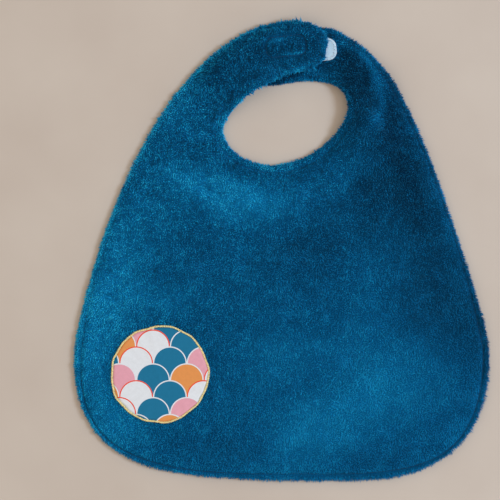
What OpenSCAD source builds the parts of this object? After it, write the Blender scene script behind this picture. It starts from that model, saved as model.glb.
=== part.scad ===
// Plush baby bib lying flat and closed: two pile-cloth panels sewn together round the edge,
// with a hook-and-loop closure on the two neck straps and a round cloth badge in one corner.
// X runs across the bib, Y from the hem to the neck, Z up from the surface that it lies on.

/* [Cloth] */
// Width across the widest part
bib_w = 330; // [290:1:380]
// Height from the hem to the top of the closed neck ring
bib_h = 370; // [340:1:420]
// Height of the left side's widest point above the hem
left_wide_up = 93; // [80:1:110]
// Height of the right side's widest point above the hem
right_wide_up = 103; // [80:1:115]
// Thickness of one panel with its pile
panel_t = 3; // [2.4:0.1:4]
// Distance of the edge stitching from the edge
stitch_inset = 4.8; // [4:0.1:7]
// How deep the edge stitching pulls the pile in
stitch_sink = 1.1; // [0.6:0.1:1.4]
// Width of the band over which the pile recovers past the stitching
stitch_recover = 3; // [2:0.1:4]
// Height of half the turned edge, where the two panels meet
edge_half = 0.9; // [0.5:0.1:1.4]
// Width of the rounding of the turned edge
edge_round = 1.2; // [0.8:0.1:1.8]

/* [Neck and straps] */
// Width of the neck opening
neck_w = 99; // [80:1:110]
// Height of the neck opening, up to the lower strap
neck_h = 66; // [55:1:75]
// Width of the strap that lies on top
top_strap_w = 45; // [41:1:49]
// Width of the strap that lies underneath
under_strap_w = 43; // [38:1:48]
// How far the under strap lies below the top of the ring
lap_drop = 7; // [4:0.5:9]
// How far the top strap's tip lies right of the ring's top
top_tip_reach = 27; // [22:1:32]
// How far the under strap's tip lies left of the ring's top
under_tip_reach = 40; // [34:1:44]
// Height of the soft ridge on the closed shoulder
ridge_h = 7; // [0:0.5:10]

/* [Hook and loop closure] */
// Length of the hook tape
hook_l = 36; // [28:1:38]
// Width of the hook tape
hook_w = 20; // [14:1:22]
// Thickness of the hook tape
hook_t = 1.2; // [0.8:0.1:1.8]
// Length of the loop tape
loop_l = 56; // [46:1:60]
// Width of the loop tape
loop_w = 19; // [14:1:22]
// Thickness of the loop tape
loop_t = 1.5; // [1:0.1:2.2]
// How far each tape is pressed into the pile
tape_sink = 0.6; // [0.2:0.1:0.8]
// Distance of the tape stitching from the tape's edge
tape_stitch_inset = 2; // [1.5:0.1:2.5]
// Gap between the closed hook and loop faces
closure_gap = 0.3; // [0.2:0.05:0.8]

/* [Round badge] */
// Diameter over the border stitching
badge_d = 79; // [60:1:90]
// Badge centre from the bib's left edge
badge_in = 68; // [60:1:90]
// Badge centre above the hem
badge_up = 86; // [75:1:110]
// Width of the border stitching
border_w = 1.9; // [1.5:0.1:3.5]
// Height of the border stitching
border_h = 1.3; // [0.9:0.1:1.8]
// Thickness of the badge cloth
badge_t = 0.6; // [0.4:0.1:1]
// How far the badge is pressed into the pile
badge_sink = 0.8; // [0.3:0.1:1]

/* [Thread] */
// Width of a line of stitching
thread_w = 0.9; // [0.5:0.1:1.2]
// Height of a line of stitching
thread_h = 0.6; // [0.4:0.1:0.8]

/* [Hidden] */

plush = [0.02, 0.25, 0.40];
plush_thread = [0.02, 0.19, 0.32];
tape_white = [0.92, 0.93, 0.95];
badge_print = [0.12, 0.42, 0.53];
border_yellow = [0.93, 0.78, 0.42];

// Clearances
layer_gap = 0.1;
fold_gap = 0.4;
seat_gap = 0.05;

// Cuts run this far past a face
overcut = 1;

// Places in the plan view: across from the middle line, and down from the top of the ring
hem_mid_x = 12;
ring_top_x = 9;
under_top_x = 34;
neck_mid_x = 3.5;
neck_left_drop = 88;
neck_right_drop = 71;
neck_top_x = 22;
neck_low_x = -6;
top_lap_x = -14;
top_lap_drop = 54;
top_under_x = 5;
top_tip_sag = 2.5;
under_lap_x = -9;
under_lap_sag = 5;
under_lap_dip = 3;
ridge_top_x = 66;
ridge_top_drop = 55;
ridge_low_x = 70;
ridge_low_drop = 93;
ridge_reach = 36;
hook_x = 4;
hook_drop = 22;
loop_x = 17;
loop_drop = 26.5;

// Outline anchors
half_w = bib_w / 2;
top_y = bib_h / 2;
hem_y = -bib_h / 2;
hem_mid = [hem_mid_x, hem_y];
left_wide = [-half_w, hem_y + left_wide_up];
right_wide = [half_w, hem_y + right_wide_up];
ring_top = [ring_top_x, top_y];
under_top = [under_top_x, top_y - lap_drop];
neck_left = [neck_mid_x - neck_w / 2, top_y - neck_left_drop];
neck_right = [neck_mid_x + neck_w / 2, top_y - neck_right_drop];
neck_top = [neck_top_x, under_top.y - under_strap_w];
neck_low = [neck_low_x, neck_top.y - neck_h];
top_lap = [top_lap_x, top_y - top_lap_drop];
top_under = [top_under_x, top_y - top_strap_w];
top_tip = [ring_top_x + top_tip_reach, top_y - top_strap_w / 2 - top_tip_sag];
under_lap_out = [under_lap_x, under_top.y - under_lap_sag];
under_lap_in = [under_lap_x, neck_top.y - under_lap_dip];
under_tip = [ring_top_x - under_tip_reach, (under_lap_out.y + under_lap_in.y) / 2];

// A curve that leaves p along X, or at a slope to it, and meets q along Y, with the fullness of
// its two ends
function flat_start(p, q, a, b, slope = 0) =
    [p, p + a * (q.x - p.x) * [1, slope], [q.x, q.y - b * (q.y - p.y)], q];
// A curve that leaves p along Y and meets q along X, or at a slope to it
function upright_start(p, q, a, b, slope = 0) =
    [p, [p.x, p.y + a * (q.y - p.y)], q - b * (q.x - p.x) * [1, slope], q];
// A shallow bend that leaves p and meets q along X, or at slopes to it
function shallow(p, q, a, p_slope = 0, q_slope = 0) =
    [p, p + a * (q.x - p.x) * [1, p_slope], q - a * (q.x - p.x) * [1, q_slope], q];
round_end = 0.56;
// Slopes of the top strap's inner edge where it meets and where it leaves the under strap's edge
lap_slope = 0.45;
lap_end_slope = 0.2;

hem_left = flat_start(hem_mid, left_wide, 0.75, 0.72);
hem_right = flat_start(hem_mid, right_wide, 0.56, 0.98);
left_side = upright_start(left_wide, ring_top, 0.28, 0.57);
right_side = upright_start(right_wide, under_top, 0.05, 0.58);
neck_left_high = upright_start(neck_left, top_lap, 0.25, 0.44, lap_slope);
neck_left_low = upright_start(neck_left, neck_low, 0.48, 0.56);
neck_right_low = flat_start(neck_low, neck_right, 0.59, 0.32);
neck_right_high = upright_start(neck_right, neck_top, 0.54, 0.8);
top_lap_in = shallow(top_lap, top_under, 0.25, lap_slope, lap_end_slope);
top_tip_out = flat_start(ring_top, top_tip, round_end, round_end);
top_tip_in = flat_start(top_under, top_tip, 0.8, 0.55, lap_end_slope);
under_lap_top = shallow(under_top, under_lap_out, 0.4);
under_lap_low = shallow(neck_top, under_lap_in, 0.4);
under_tip_out = flat_start(under_lap_out, under_tip, round_end, round_end);
under_tip_in = flat_start(under_lap_in, under_tip, round_end, round_end);

// Where the top strap folds, as places along the left side and along the neck
fold_1_out = 0.68;
fold_1_in = 0.30;
fold_2_out = 0.815;
// Places on the two sides that lie level with the widest part of the neck
shoulder_left = 0.58;
shoulder_right = 0.66;

function mix(a, b, f) = a + (b - a) * f;
function unit(v) = v / norm(v);
function left_of(v) = [-v.y, v.x];
function curve_at(c, t) =
    (1 - t) ^ 3 * c[0] + 3 * (1 - t) ^ 2 * t * c[1] + 3 * (1 - t) * t ^ 2 * c[2] + t ^ 3 * c[3];
function curve_way(c, t) =
    3 * ((1 - t) ^ 2 * (c[1] - c[0]) + 2 * (1 - t) * t * (c[2] - c[1]) + t ^ 2 * (c[3] - c[2]));
// The place on a curve that is a distance further on than t
function further(c, t, d) = t + d / norm(curve_way(c, t));

fold_1_a = curve_at(neck_left_high, fold_1_in);
fold_1_b = curve_at(left_side, fold_1_out);
fold_2_a = curve_at(neck_left_high, 1);
fold_2_b = curve_at(left_side, fold_2_out);
fold_1_axis = unit(fold_1_a - fold_1_b);
fold_2_axis = unit(fold_2_a - fold_2_b);
strap_way = left_of(fold_1_axis);

// Heights
mid_z = panel_t;
body_t = 2 * panel_t;
strap_rise = body_t + (loop_t - tape_sink) + closure_gap + (hook_t - tape_sink);
// The climb starts before the first fold and ends past it
ramp_from = -14;
ramp_to = 32;
ridge_a = [ridge_top_x, top_y - ridge_top_drop];
ridge_b = [ridge_low_x, top_y - ridge_low_drop];

function smooth(f) = let (g = min(1, max(0, f))) g * g * (3 - 2 * g);
// How far the top strap lies above the surface: it climbs over the under strap's tip
function climb(p) =
    strap_rise * smooth(((p - fold_1_a) * strap_way - ramp_from) / (ramp_to - ramp_from));
function off_segment(p, a, b) =
    norm(p - mix(a, b, min(1, max(0, (p - a) * (b - a) / ((b - a) * (b - a))))));
// The soft ridge that the closed ring leaves on the right shoulder
function ridge(p) = ridge_h * max(0, 1 - (off_segment(p, ridge_a, ridge_b) / ridge_reach) ^ 2) ^ 2;

// Rows across the cloth: insets from each edge, then two rows in the field
row_inset = [0, edge_round, 0.57 * stitch_inset, stitch_inset, stitch_inset + stitch_recover];
row_crown = [edge_half, 0.8 * panel_t, panel_t, panel_t - stitch_sink, panel_t];
EDGE = len(row_inset) - 1;
ROWS = 2 * len(row_inset) + 2;
LAST = ROWS - 1;
ALL_ROWS = [for (j = [0 : LAST]) j];
FEW_ROWS = [0, EDGE, EDGE + 1, EDGE + 2, EDGE + 3, LAST];
function crown(j) = j <= EDGE ? row_crown[j] : j >= LAST - EDGE ? row_crown[LAST - j] : panel_t;

// A span is a stretch between two rails, the second on the left of the first as one goes along:
// [rail a, from, to, rail b, from, to, steps, whether it closes in a round tip]
function heading(c, from, to, t) = unit(curve_way(c, t)) * sign(to - from);
function station(s, f) =
    let (ta = mix(s[1], s[2], f), tb = mix(s[4], s[5], f),
        a = curve_at(s[0], ta), b = curve_at(s[3], tb),
        into_a = left_of(heading(s[0], s[1], s[2], ta)),
        into_b = -left_of(heading(s[3], s[4], s[5], tb)))
    s[7] ? [a, into_a, b, into_b]
    : let (across = unit(b - a))
        [a, across / (across * into_a), b, -across / (-across * into_b)];
function stations(spans) = [
    for (s = spans) for (k = [0 : s[6] - 1]) station(s, k / s[6]),
    station(spans[len(spans) - 1], 1)
];
// The plan position of one row at a station
function row_at(st, j) =
    let (a_in = st[0] + st[1] * row_inset[EDGE], b_in = st[2] + st[3] * row_inset[EDGE])
    j <= EDGE ? st[0] + st[1] * row_inset[j]
    : j >= LAST - EDGE ? st[2] + st[3] * row_inset[LAST - j]
    : mix(a_in, b_in, (j - EDGE) / (LAST - 2 * EDGE));
function plan_of(spans) = [for (st = stations(spans)) [for (j = ALL_ROWS) row_at(st, j)]];

body_spans = [
    [left_side, fold_1_out, shoulder_left, neck_left_high, fold_1_in, 0, 3, false],
    [left_side, shoulder_left, 0, neck_left_low, 0, 0.4, 8, false],
    [hem_left, 1, 0, neck_left_low, 0.4, 1, 14, false],
    [hem_right, 0, 1, neck_right_low, 0, 0.5, 13, false],
    [right_side, 0, shoulder_right, neck_right_low, 0.5, 1, 8, false],
    [right_side, shoulder_right, 1, neck_right_high, 0, 1, 7, false],
    [under_lap_top, 0, 1, under_lap_low, 0, 1, 3, false],
    [under_tip_out, 0, 1, under_tip_in, 0, 1, 7, true]
];
shoulder_steps = body_spans[0][6] + body_spans[1][6];
root_spans = [
    [neck_left_high, further(neck_left_high, fold_1_in, fold_gap), 1,
        left_side, further(left_side, fold_1_out, fold_gap), fold_2_out, 6, false]
];
end_spans = [
    [top_lap_in, further(top_lap_in, 0, fold_gap), 1,
        left_side, further(left_side, fold_2_out, fold_gap), 1, 5, false],
    [top_tip_in, 0, 1, top_tip_out, 0, 1, 8, true]
];
body_plan = plan_of(body_spans);
root_plan = plan_of(root_spans);
end_plan = plan_of(end_spans);

// Height of the cloth's underside at each point of a plan
body_lift = [for (i = [0 : len(body_plan) - 1]) [for (p = body_plan[i])
    ridge(p) + (i < shoulder_steps ? climb(p) : 0)]];
root_lift = [for (row = root_plan) [for (p = row) climb(p)]];
end_lift = [for (row = end_plan) [for (p = row) climb(p)]];

// One layer of cloth between an upper and a lower skin, each drawn on its own rows. A tip folds
// the last station, so that both edges share its points.
module layer(plan, upper, lower, upper_rows, lower_rows, tip) {
    n = len(plan) - 1;
    count = (n + 1) * ROWS;
    function fold(i, j) =
        !(tip && i == n) ? j : j <= EDGE ? j : j >= LAST - EDGE ? LAST - j : EDGE;
    function up(i, j) = i * ROWS + fold(i, j);
    function low(i, j) = count + up(i, j);
    function wall(i) = [for (k = [0 : len(FEW_ROWS) - 2])
        let (c = FEW_ROWS[k], d = FEW_ROWS[k + 1])
        if (len(upper_rows) == ROWS) each [
            [low(i, c), low(i, d), up(i, d)],
            for (j = [c : d - 1]) [low(i, c), up(i, j + 1), up(i, j)]]
        else each [
            [up(i, c), low(i, d), up(i, d)],
            for (j = [c : d - 1]) [up(i, c), low(i, j), low(i, j + 1)]]];
    points = [
        for (i = [0 : n]) for (j = ALL_ROWS) [plan[i][j].x, plan[i][j].y, upper[i][j]],
        for (i = [0 : n]) for (j = ALL_ROWS) [plan[i][j].x, plan[i][j].y, lower[i][j]]];
    skins = [for (i = [0 : n - 1]) each [
        for (k = [0 : len(upper_rows) - 2]) let (j = upper_rows[k], m = upper_rows[k + 1]) each
            [[up(i, j), up(i + 1, j), up(i + 1, m)], [up(i, j), up(i + 1, m), up(i, m)]],
        for (k = [0 : len(lower_rows) - 2]) let (j = lower_rows[k], m = lower_rows[k + 1]) each
            [[low(i, j), low(i + 1, m), low(i + 1, j)], [low(i, j), low(i, m), low(i + 1, m)]],
        [low(i, 0), low(i + 1, 0), up(i + 1, 0)],
        [low(i, 0), up(i + 1, 0), up(i, 0)],
        [low(i + 1, LAST), low(i, LAST), up(i, LAST)],
        [low(i + 1, LAST), up(i, LAST), up(i + 1, LAST)]]];
    start = [for (f = wall(0)) [f[0], f[2], f[1]]];
    finish = tip ? [] : wall(n);
    polyhedron(points, [for (f = concat(skins, start, finish))
        if (f[0] != f[1] && f[1] != f[2] && f[2] != f[0]) [f[0], f[2], f[1]]]);
}
function raised(lift, by) = [for (row = lift) [for (z = row) z + by]];
function crowned(lift, by, way) =
    [for (row = lift) [for (j = ALL_ROWS) row[j] + by + way * crown(j)]];
module front_layer(plan, lift, tip) {
    layer(plan, crowned(lift, mid_z, 1), raised(lift, mid_z + layer_gap / 2),
        ALL_ROWS, FEW_ROWS, tip);
}
module back_layer(plan, lift, tip) {
    layer(plan, raised(lift, mid_z - layer_gap / 2), crowned(lift, mid_z, -1),
        FEW_ROWS, ALL_ROWS, tip);
}

// A line of thread along points that each carry the way across it
module thread_line(points, across) {
    n = len(points) - 1;
    ring = [[1, 0], [0, 1], [-1, 0], [0, -1]];
    corners = [for (i = [0 : n]) for (r = ring)
        points[i] + across[i] * r[0] * thread_w / 2 + [0, 0, r[1] * thread_h / 2]];
    sides = [for (i = [0 : n - 1]) for (k = [0 : 3]) let (m = (k + 1) % 4) each
        [[4 * i + k, 4 * i + 4 + m, 4 * i + 4 + k], [4 * i + k, 4 * i + m, 4 * i + 4 + m]]];
    ends = [[0, 3, 2], [0, 2, 1], [4 * n, 4 * n + 1, 4 * n + 2], [4 * n, 4 * n + 2, 4 * n + 3]];
    polyhedron(corners, [for (f = concat(sides, ends)) [f[0], f[2], f[1]]]);
}
STITCH_ROW = 3;
function stitch_z(lift, i, j, way) =
    lift[i][j] + mid_z + way * (panel_t - stitch_sink + thread_h / 2 + seat_gap);
function stitch_points(plan, lift, row, way) = [for (i = [0 : len(plan) - 1])
    [plan[i][row].x, plan[i][row].y, stitch_z(lift, i, row, way)]];
function flat3(v) = [v.x, v.y, 0];
function stitch_across(plan, row) =
    [for (r = plan) flat3(unit(row < EDGE ? r[row + 1] - r[row] : r[row] - r[row - 1]))];
// Edge stitching on one side of the cloth: one line up one edge, round the tip and down the other
module tip_stitching(plan, lift, way) {
    n = len(plan) - 1;
    there = stitch_points(plan, lift, STITCH_ROW, way);
    back = stitch_points(plan, lift, LAST - STITCH_ROW, way);
    side = stitch_across(plan, STITCH_ROW);
    other = stitch_across(plan, LAST - STITCH_ROW);
    thread_line(concat(there, [for (i = [n - 1 : -1 : 0]) back[i]]),
        concat(side, [for (i = [n - 1 : -1 : 0]) -other[i]]));
}
// Edge stitching on a stretch with no tip: a line along each edge
module side_stitching(plan, lift, way) {
    for (row = [STITCH_ROW, LAST - STITCH_ROW])
        thread_line(stitch_points(plan, lift, row, way), stitch_across(plan, row));
}

// Tapes, which lie along the straps
tape_turn = 6;
hook_at = [hook_x, top_y - hook_drop];
loop_at = [loop_x, top_y - loop_drop];
hook_corner = 8;
loop_end_flat = 6;
loop_r = (loop_w - loop_end_flat) / 2;
loop_z = body_t - tape_sink;
hook_z = strap_rise - hook_t + tape_sink;
module tape_outline(l, w, r) {
    square([l, w - 2 * r], center = true);
    square([l - 2 * r, w], center = true);
    for (x = [-1, 1], y = [-1, 1]) {
        translate([x * (l / 2 - r), y * (w / 2 - r)]) circle(r, $fn = 32);
    }
}
module at_tape(place, z) {
    translate([place.x, place.y, z]) rotate(tape_turn) children();
}
// A closed line of stitching that follows a tape's outline
module tape_ring(l, w, r, width, h) {
    inset = tape_stitch_inset;
    linear_extrude(h) difference() {
        tape_outline(l - 2 * inset + width, w - 2 * inset + width, r - inset + width / 2);
        tape_outline(l - 2 * inset - width, w - 2 * inset - width, r - inset - width / 2);
    }
}
// The channel that the stitching pulls into the cloth, a little wider than the thread
channel_w = 2 * thread_w;
seam_h = min(thread_h, hook_t / 2, loop_t / 2);
channel_d = seam_h + layer_gap;
module tape_channel(place, l, w, r, z) {
    at_tape(place, z) tape_ring(l, w, r, channel_w, channel_d + overcut);
}
module tape_pocket(place, l, w, r, z) {
    at_tape(place, z) linear_extrude(hook_t + loop_t)
        tape_outline(l + 2 * seat_gap, w + 2 * seat_gap, r + seat_gap);
}

// Badge
badge_at = [-half_w + badge_in, hem_y + badge_up];
badge_z = body_t - badge_sink;
badge_r = badge_d / 2 - border_w;
module at_badge(z) {
    translate([badge_at.x, badge_at.y, z]) children();
}
module ring_of(r_in, r_out, h) {
    rotate_extrude($fn = 96) translate([r_in, 0]) square([r_out - r_in, h]);
}

module front_panel() {
    color(plush) difference() {
        front_layer(body_plan, body_lift, true);
        tape_pocket(loop_at, loop_l, loop_w, loop_r, loop_z);
        at_badge(badge_z) cylinder(h = badge_sink + overcut, r = badge_d / 2 + seat_gap, $fn = 96);
    }
}
module back_panel() {
    color(plush) difference() {
        back_layer(body_plan, body_lift, true);
        tape_channel(loop_at, loop_l, loop_w, loop_r, -overcut);
        at_badge(-overcut) ring_of(badge_r - seat_gap, badge_d / 2 + seat_gap, channel_d + overcut);
    }
}
module edge_topstitch() {
    color(plush_thread) tip_stitching(body_plan, body_lift, 1);
}
module edge_bobbin_thread() {
    color(plush_thread) tip_stitching(body_plan, body_lift, -1);
}
module loop_tape() {
    color(tape_white) difference() {
        at_tape(loop_at, loop_z) linear_extrude(loop_t) tape_outline(loop_l, loop_w, loop_r);
        tape_channel(loop_at, loop_l, loop_w, loop_r, loop_z + loop_t - channel_d);
    }
}
module loop_tape_stitching() {
    color(tape_white) at_tape(loop_at, loop_z + loop_t - channel_d)
        tape_ring(loop_l, loop_w, loop_r, thread_w, seam_h);
}
module loop_tape_bobbin_thread() {
    color(plush_thread) at_tape(loop_at, channel_d - seam_h)
        tape_ring(loop_l, loop_w, loop_r, thread_w, seam_h);
}
module badge_cloth() {
    color(badge_print) at_badge(badge_z) cylinder(h = badge_t, r = badge_r, $fn = 96);
}
module badge_border_stitching() {
    color(border_yellow) at_badge(badge_z) rotate_extrude($fn = 96)
        translate([badge_r + border_w / 2, 0]) intersection() {
            translate([0, border_h - border_w / 2]) circle(border_w / 2, $fn = 32);
            translate([-border_w / 2, 0]) square([border_w, border_h]);
        }
}
module badge_bobbin_thread() {
    color(plush_thread) at_badge(channel_d - seam_h) ring_of(badge_r, badge_d / 2, seam_h);
}
module strap_root_front() {
    color(plush) front_layer(root_plan, root_lift, false);
}
module strap_root_back() {
    color(plush) back_layer(root_plan, root_lift, false);
}
module strap_root_topstitch() {
    color(plush_thread) side_stitching(root_plan, root_lift, 1);
}
module strap_root_bobbin_thread() {
    color(plush_thread) side_stitching(root_plan, root_lift, -1);
}
module strap_end_front() {
    color(plush) difference() {
        front_layer(end_plan, end_lift, true);
        tape_channel(hook_at, hook_l, hook_w, hook_corner, strap_rise + body_t - channel_d);
    }
}
module strap_end_back() {
    color(plush) difference() {
        back_layer(end_plan, end_lift, true);
        tape_pocket(hook_at, hook_l, hook_w, hook_corner, strap_rise + tape_sink - hook_t - loop_t);
    }
}
module strap_end_topstitch() {
    color(plush_thread) tip_stitching(end_plan, end_lift, 1);
}
module strap_end_bobbin_thread() {
    color(plush_thread) tip_stitching(end_plan, end_lift, -1);
}
module hook_tape() {
    color(tape_white) difference() {
        at_tape(hook_at, hook_z) linear_extrude(hook_t) tape_outline(hook_l, hook_w, hook_corner);
        tape_channel(hook_at, hook_l, hook_w, hook_corner, hook_z - overcut);
    }
}
module hook_tape_stitching() {
    color(plush_thread) at_tape(hook_at, strap_rise + body_t - channel_d)
        tape_ring(hook_l, hook_w, hook_corner, thread_w, seam_h);
}
module hook_tape_bobbin_thread() {
    color(tape_white) at_tape(hook_at, hook_z + channel_d - seam_h)
        tape_ring(hook_l, hook_w, hook_corner, thread_w, seam_h);
}

front_panel();
back_panel();
edge_topstitch();
edge_bobbin_thread();
loop_tape();
loop_tape_stitching();
loop_tape_bobbin_thread();
badge_cloth();
badge_border_stitching();
badge_bobbin_thread();
strap_root_front();
strap_root_back();
strap_root_topstitch();
strap_root_bobbin_thread();
strap_end_front();
strap_end_back();
strap_end_topstitch();
strap_end_bobbin_thread();
hook_tape();
hook_tape_stitching();
hook_tape_bobbin_thread();
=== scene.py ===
"""A plush baby bib, closed at the neck by hook and loop tape, with a round cotton badge sewn on."""

import math

import bmesh
import bpy
import numpy as np
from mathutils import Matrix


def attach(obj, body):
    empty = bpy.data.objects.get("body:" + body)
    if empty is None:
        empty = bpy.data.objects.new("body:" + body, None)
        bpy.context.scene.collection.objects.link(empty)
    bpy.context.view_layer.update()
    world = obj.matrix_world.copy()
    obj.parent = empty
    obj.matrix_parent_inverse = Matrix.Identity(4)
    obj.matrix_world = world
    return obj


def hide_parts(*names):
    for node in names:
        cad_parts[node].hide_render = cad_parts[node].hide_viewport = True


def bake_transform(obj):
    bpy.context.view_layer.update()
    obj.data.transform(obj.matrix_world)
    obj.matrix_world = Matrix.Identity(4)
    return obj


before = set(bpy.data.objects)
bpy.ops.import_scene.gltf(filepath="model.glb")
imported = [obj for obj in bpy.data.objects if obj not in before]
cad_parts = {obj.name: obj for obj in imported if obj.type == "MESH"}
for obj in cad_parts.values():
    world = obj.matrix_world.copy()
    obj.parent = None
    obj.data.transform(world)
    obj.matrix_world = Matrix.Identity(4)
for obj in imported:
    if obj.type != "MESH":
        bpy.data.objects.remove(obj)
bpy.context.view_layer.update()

MM = 0.001
FRONT, BACK = 1, -1

# The cut of the bib, in millimetres: X across, Y from the hem to the neck, Z up from the floor.
HEM_MID = (12, -185)
LEFT_WIDE = (-165, -92)
RIGHT_WIDE = (165, -82)
RING_TOP = (9, 185)
UNDER_TOP = (34, 178)
NECK_LEFT = (-46, 97)
NECK_RIGHT = (53, 114)
NECK_TOP = (22, 135)
NECK_LOW = (-6, 69)
TOP_LAP = (-14, 131)
TOP_UNDER = (5, 140)
TOP_TIP = (36, 160)
UNDER_LAP_OUT = (-9, 173)
UNDER_LAP_IN = (-9, 132)
UNDER_TIP = (-31, 152.5)
FOLD_1_OUT, FOLD_1_IN, FOLD_2_OUT = 0.68, 0.30, 0.815
SHOULDER_LEFT, SHOULDER_RIGHT = 0.58, 0.66
NECK_SPLIT_LEFT, NECK_SPLIT_RIGHT = 0.4, 0.5
ROUND_END = 0.56
LAP_SLOPE, LAP_END_SLOPE = 0.45, 0.2

# Heights of the cloth: its middle, the top strap's climb and the ridge on the right shoulder.
MID_Z = 3.0
STRAP_RISE = 7.8
CLIMB_FROM, CLIMB_TO = -14, 32
RIDGE_TOP, RIDGE_LOW = (66, 130), (70, 92)
RIDGE_REACH, RIDGE_H = 36, 7

# The base cloth under the pile, and the stitched edge.
EDGE_IN = 1.0
BASE_HALF = 1.1
EDGE_ROUND = 2.2
EDGE_DROOP, DROOP_REACH = 1.3, 9
STRAP_DROOP, STRAP_DROOP_REACH, FREE_OF_TAPE = 9.0, 15, 8
STITCH_INSET = 4.8
STITCH_DIP = 0.75
STITCH_SPREAD = 1.0
SEAM_SEAT = 0.25
ROW_INSETS = (EDGE_IN, 1.1, 1.3, 1.7, 2.3, 3.0, 3.7, 4.2, 4.5, STITCH_INSET, 5.1, 5.5, 6.1, 7.0, 8.4, 10.0)
FIELD_ROWS = 24
RIM_ROWS = 5
WHOLE = (slice(None),)
FIELD = (slice(RIM_ROWS - 1, 1 - RIM_ROWS),)
RIM = (slice(0, RIM_ROWS), slice(-RIM_ROWS, None))
MERGE_WITHIN, SLIVER = 1e-6, 1e-7

# Tapes: their turn in degrees. Then for each its centre, half length and half width, and corner radius,
# how high it lies, how thick it is, and how much of that is its loops or hooks.
TAPE_TURN = 6
HOOK_AT, HOOK_HALF, HOOK_CORNER = (4, 163), (18, 10), 8
HOOK = (HOOK_AT, HOOK_HALF, HOOK_CORNER)
HOOK_Z, HOOK_T, HOOKS_H = 7.2, 1.2, 0.4
LOOP_AT, LOOP_HALF, LOOP_CORNER = (17, 158.9), (27.5, 8.9), 7
LOOP = (LOOP_AT, LOOP_HALF, LOOP_CORNER)
LOOP_Z, LOOP_T, LOOPS_H = 5.4, 1.5, 0.5
TAPE_SOFT = 0.3
CORNER_STEPS, LEAST_CORNER = 16, 0.2
# The seams of the tapes: how far in from the edge, how deep and wide the dip that the hook tape's seam
# makes in the strap, and how far each line of thread lies from the face that it is sewn on. Then how
# high the threads on the back of the bib lie.
TAPE_SEAM_INSET = 2
TAPE_SEAM_DIP, TAPE_SEAM_SPREAD = 0.9, 1.3
LOOP_SEAM_SINK, HOOK_SEAM_SINK, HOOK_BOBBIN_SEAT = 0.25, 0.6, 0.3
BACK_THREAD_Z = 0.45

# Which way the pile leans, how near the loop tape it leans over the tape instead, how much longer it
# looks there, and how far under the edge of a tape it still stands.
NAP = np.array([0, -0.4])
TAPE_HUG, HUG_LENGTH = 2.5, 0.7
TAPE_COVER = 0.7
# The pile at the top strap's tip leans out over the loop tape: how far in, how far round and how much.
TIP_REACH, TIP_STATIONS, TIP_NAP = 3.2, 14, 1.2

# The badge: its cloth goes a little under its border, and the pile does too.
BADGE_AT = (-97, -99)
BADGE_R = 37.6
BADGE_Z, BADGE_T = 5.2, 0.6
BADGE_TUCK = 0.4
BADGE_RINGS, BADGE_SEGMENTS = 18, 144
BORDER_W, BORDER_RISE, BORDER_COVER = 1.9, 0.75, 0.5
BORDER_STEPS = 180
# Waves of the hand-guided border: how far each strays, how often round, and where it starts.
WOBBLES = ((0.35, 2, 0.6), (0.32, 5, 2.0), (0.3, 9, 1.0), (0.2, 16, 0))
# Puckers of the cloth towards its border: height, how many round, how uneven. Then its long swells.
PUCKER_H, PUCKERS, PUCKER_SHIFT, PUCKER_SHIFTS = 0.16, 23, 3, 2
SWELL_H, SWELLS, SWELL_TURN = 0.1, 3, 6
SCALLOP_R = 13.5
SCALLOP_SHIFT = (0.4, 0.35)
SCALLOP_RIM = 0.07


def flat_start(p, q, a, b, slope=0):
    """A curve that leaves p along X, or at a slope to it, and meets q along Y.

    Its handles reach the shares a and b of the way between the two points.
    """
    run = a * (q[0] - p[0])
    return np.array([p, (p[0] + run, p[1] + run * slope), (q[0], q[1] - b * (q[1] - p[1])), q], float)


def upright_start(p, q, a, b, slope=0):
    """A curve that leaves p along Y and meets q along X, or at a slope to it."""
    run = b * (q[0] - p[0])
    return np.array([p, (p[0], p[1] + a * (q[1] - p[1])), (q[0] - run, q[1] - run * slope), q], float)


def shallow(p, q, a, p_slope=0, q_slope=0):
    """A bend that leaves p and meets q along X, or at slopes to it."""
    run = a * (q[0] - p[0])
    return np.array([p, (p[0] + run, p[1] + run * p_slope), (q[0] - run, q[1] - run * q_slope), q], float)


HEM_LEFT = flat_start(HEM_MID, LEFT_WIDE, 0.75, 0.72)
HEM_RIGHT = flat_start(HEM_MID, RIGHT_WIDE, 0.56, 0.98)
LEFT_SIDE = upright_start(LEFT_WIDE, RING_TOP, 0.28, 0.57)
RIGHT_SIDE = upright_start(RIGHT_WIDE, UNDER_TOP, 0.05, 0.58)
NECK_LEFT_HIGH = upright_start(NECK_LEFT, TOP_LAP, 0.25, 0.44, LAP_SLOPE)
NECK_LEFT_LOW = upright_start(NECK_LEFT, NECK_LOW, 0.48, 0.56)
NECK_RIGHT_LOW = flat_start(NECK_LOW, NECK_RIGHT, 0.59, 0.32)
NECK_RIGHT_HIGH = upright_start(NECK_RIGHT, NECK_TOP, 0.54, 0.8)
TOP_LAP_IN = shallow(TOP_LAP, TOP_UNDER, 0.25, LAP_SLOPE, LAP_END_SLOPE)
TOP_TIP_OUT = flat_start(RING_TOP, TOP_TIP, ROUND_END, ROUND_END)
TOP_TIP_IN = flat_start(TOP_UNDER, TOP_TIP, 0.8, 0.55, LAP_END_SLOPE)
UNDER_LAP_TOP = shallow(UNDER_TOP, UNDER_LAP_OUT, 0.4)
UNDER_LAP_LOW = shallow(NECK_TOP, UNDER_LAP_IN, 0.4)
UNDER_TIP_OUT = flat_start(UNDER_LAP_OUT, UNDER_TIP, ROUND_END, ROUND_END)
UNDER_TIP_IN = flat_start(UNDER_LAP_IN, UNDER_TIP, ROUND_END, ROUND_END)

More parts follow.
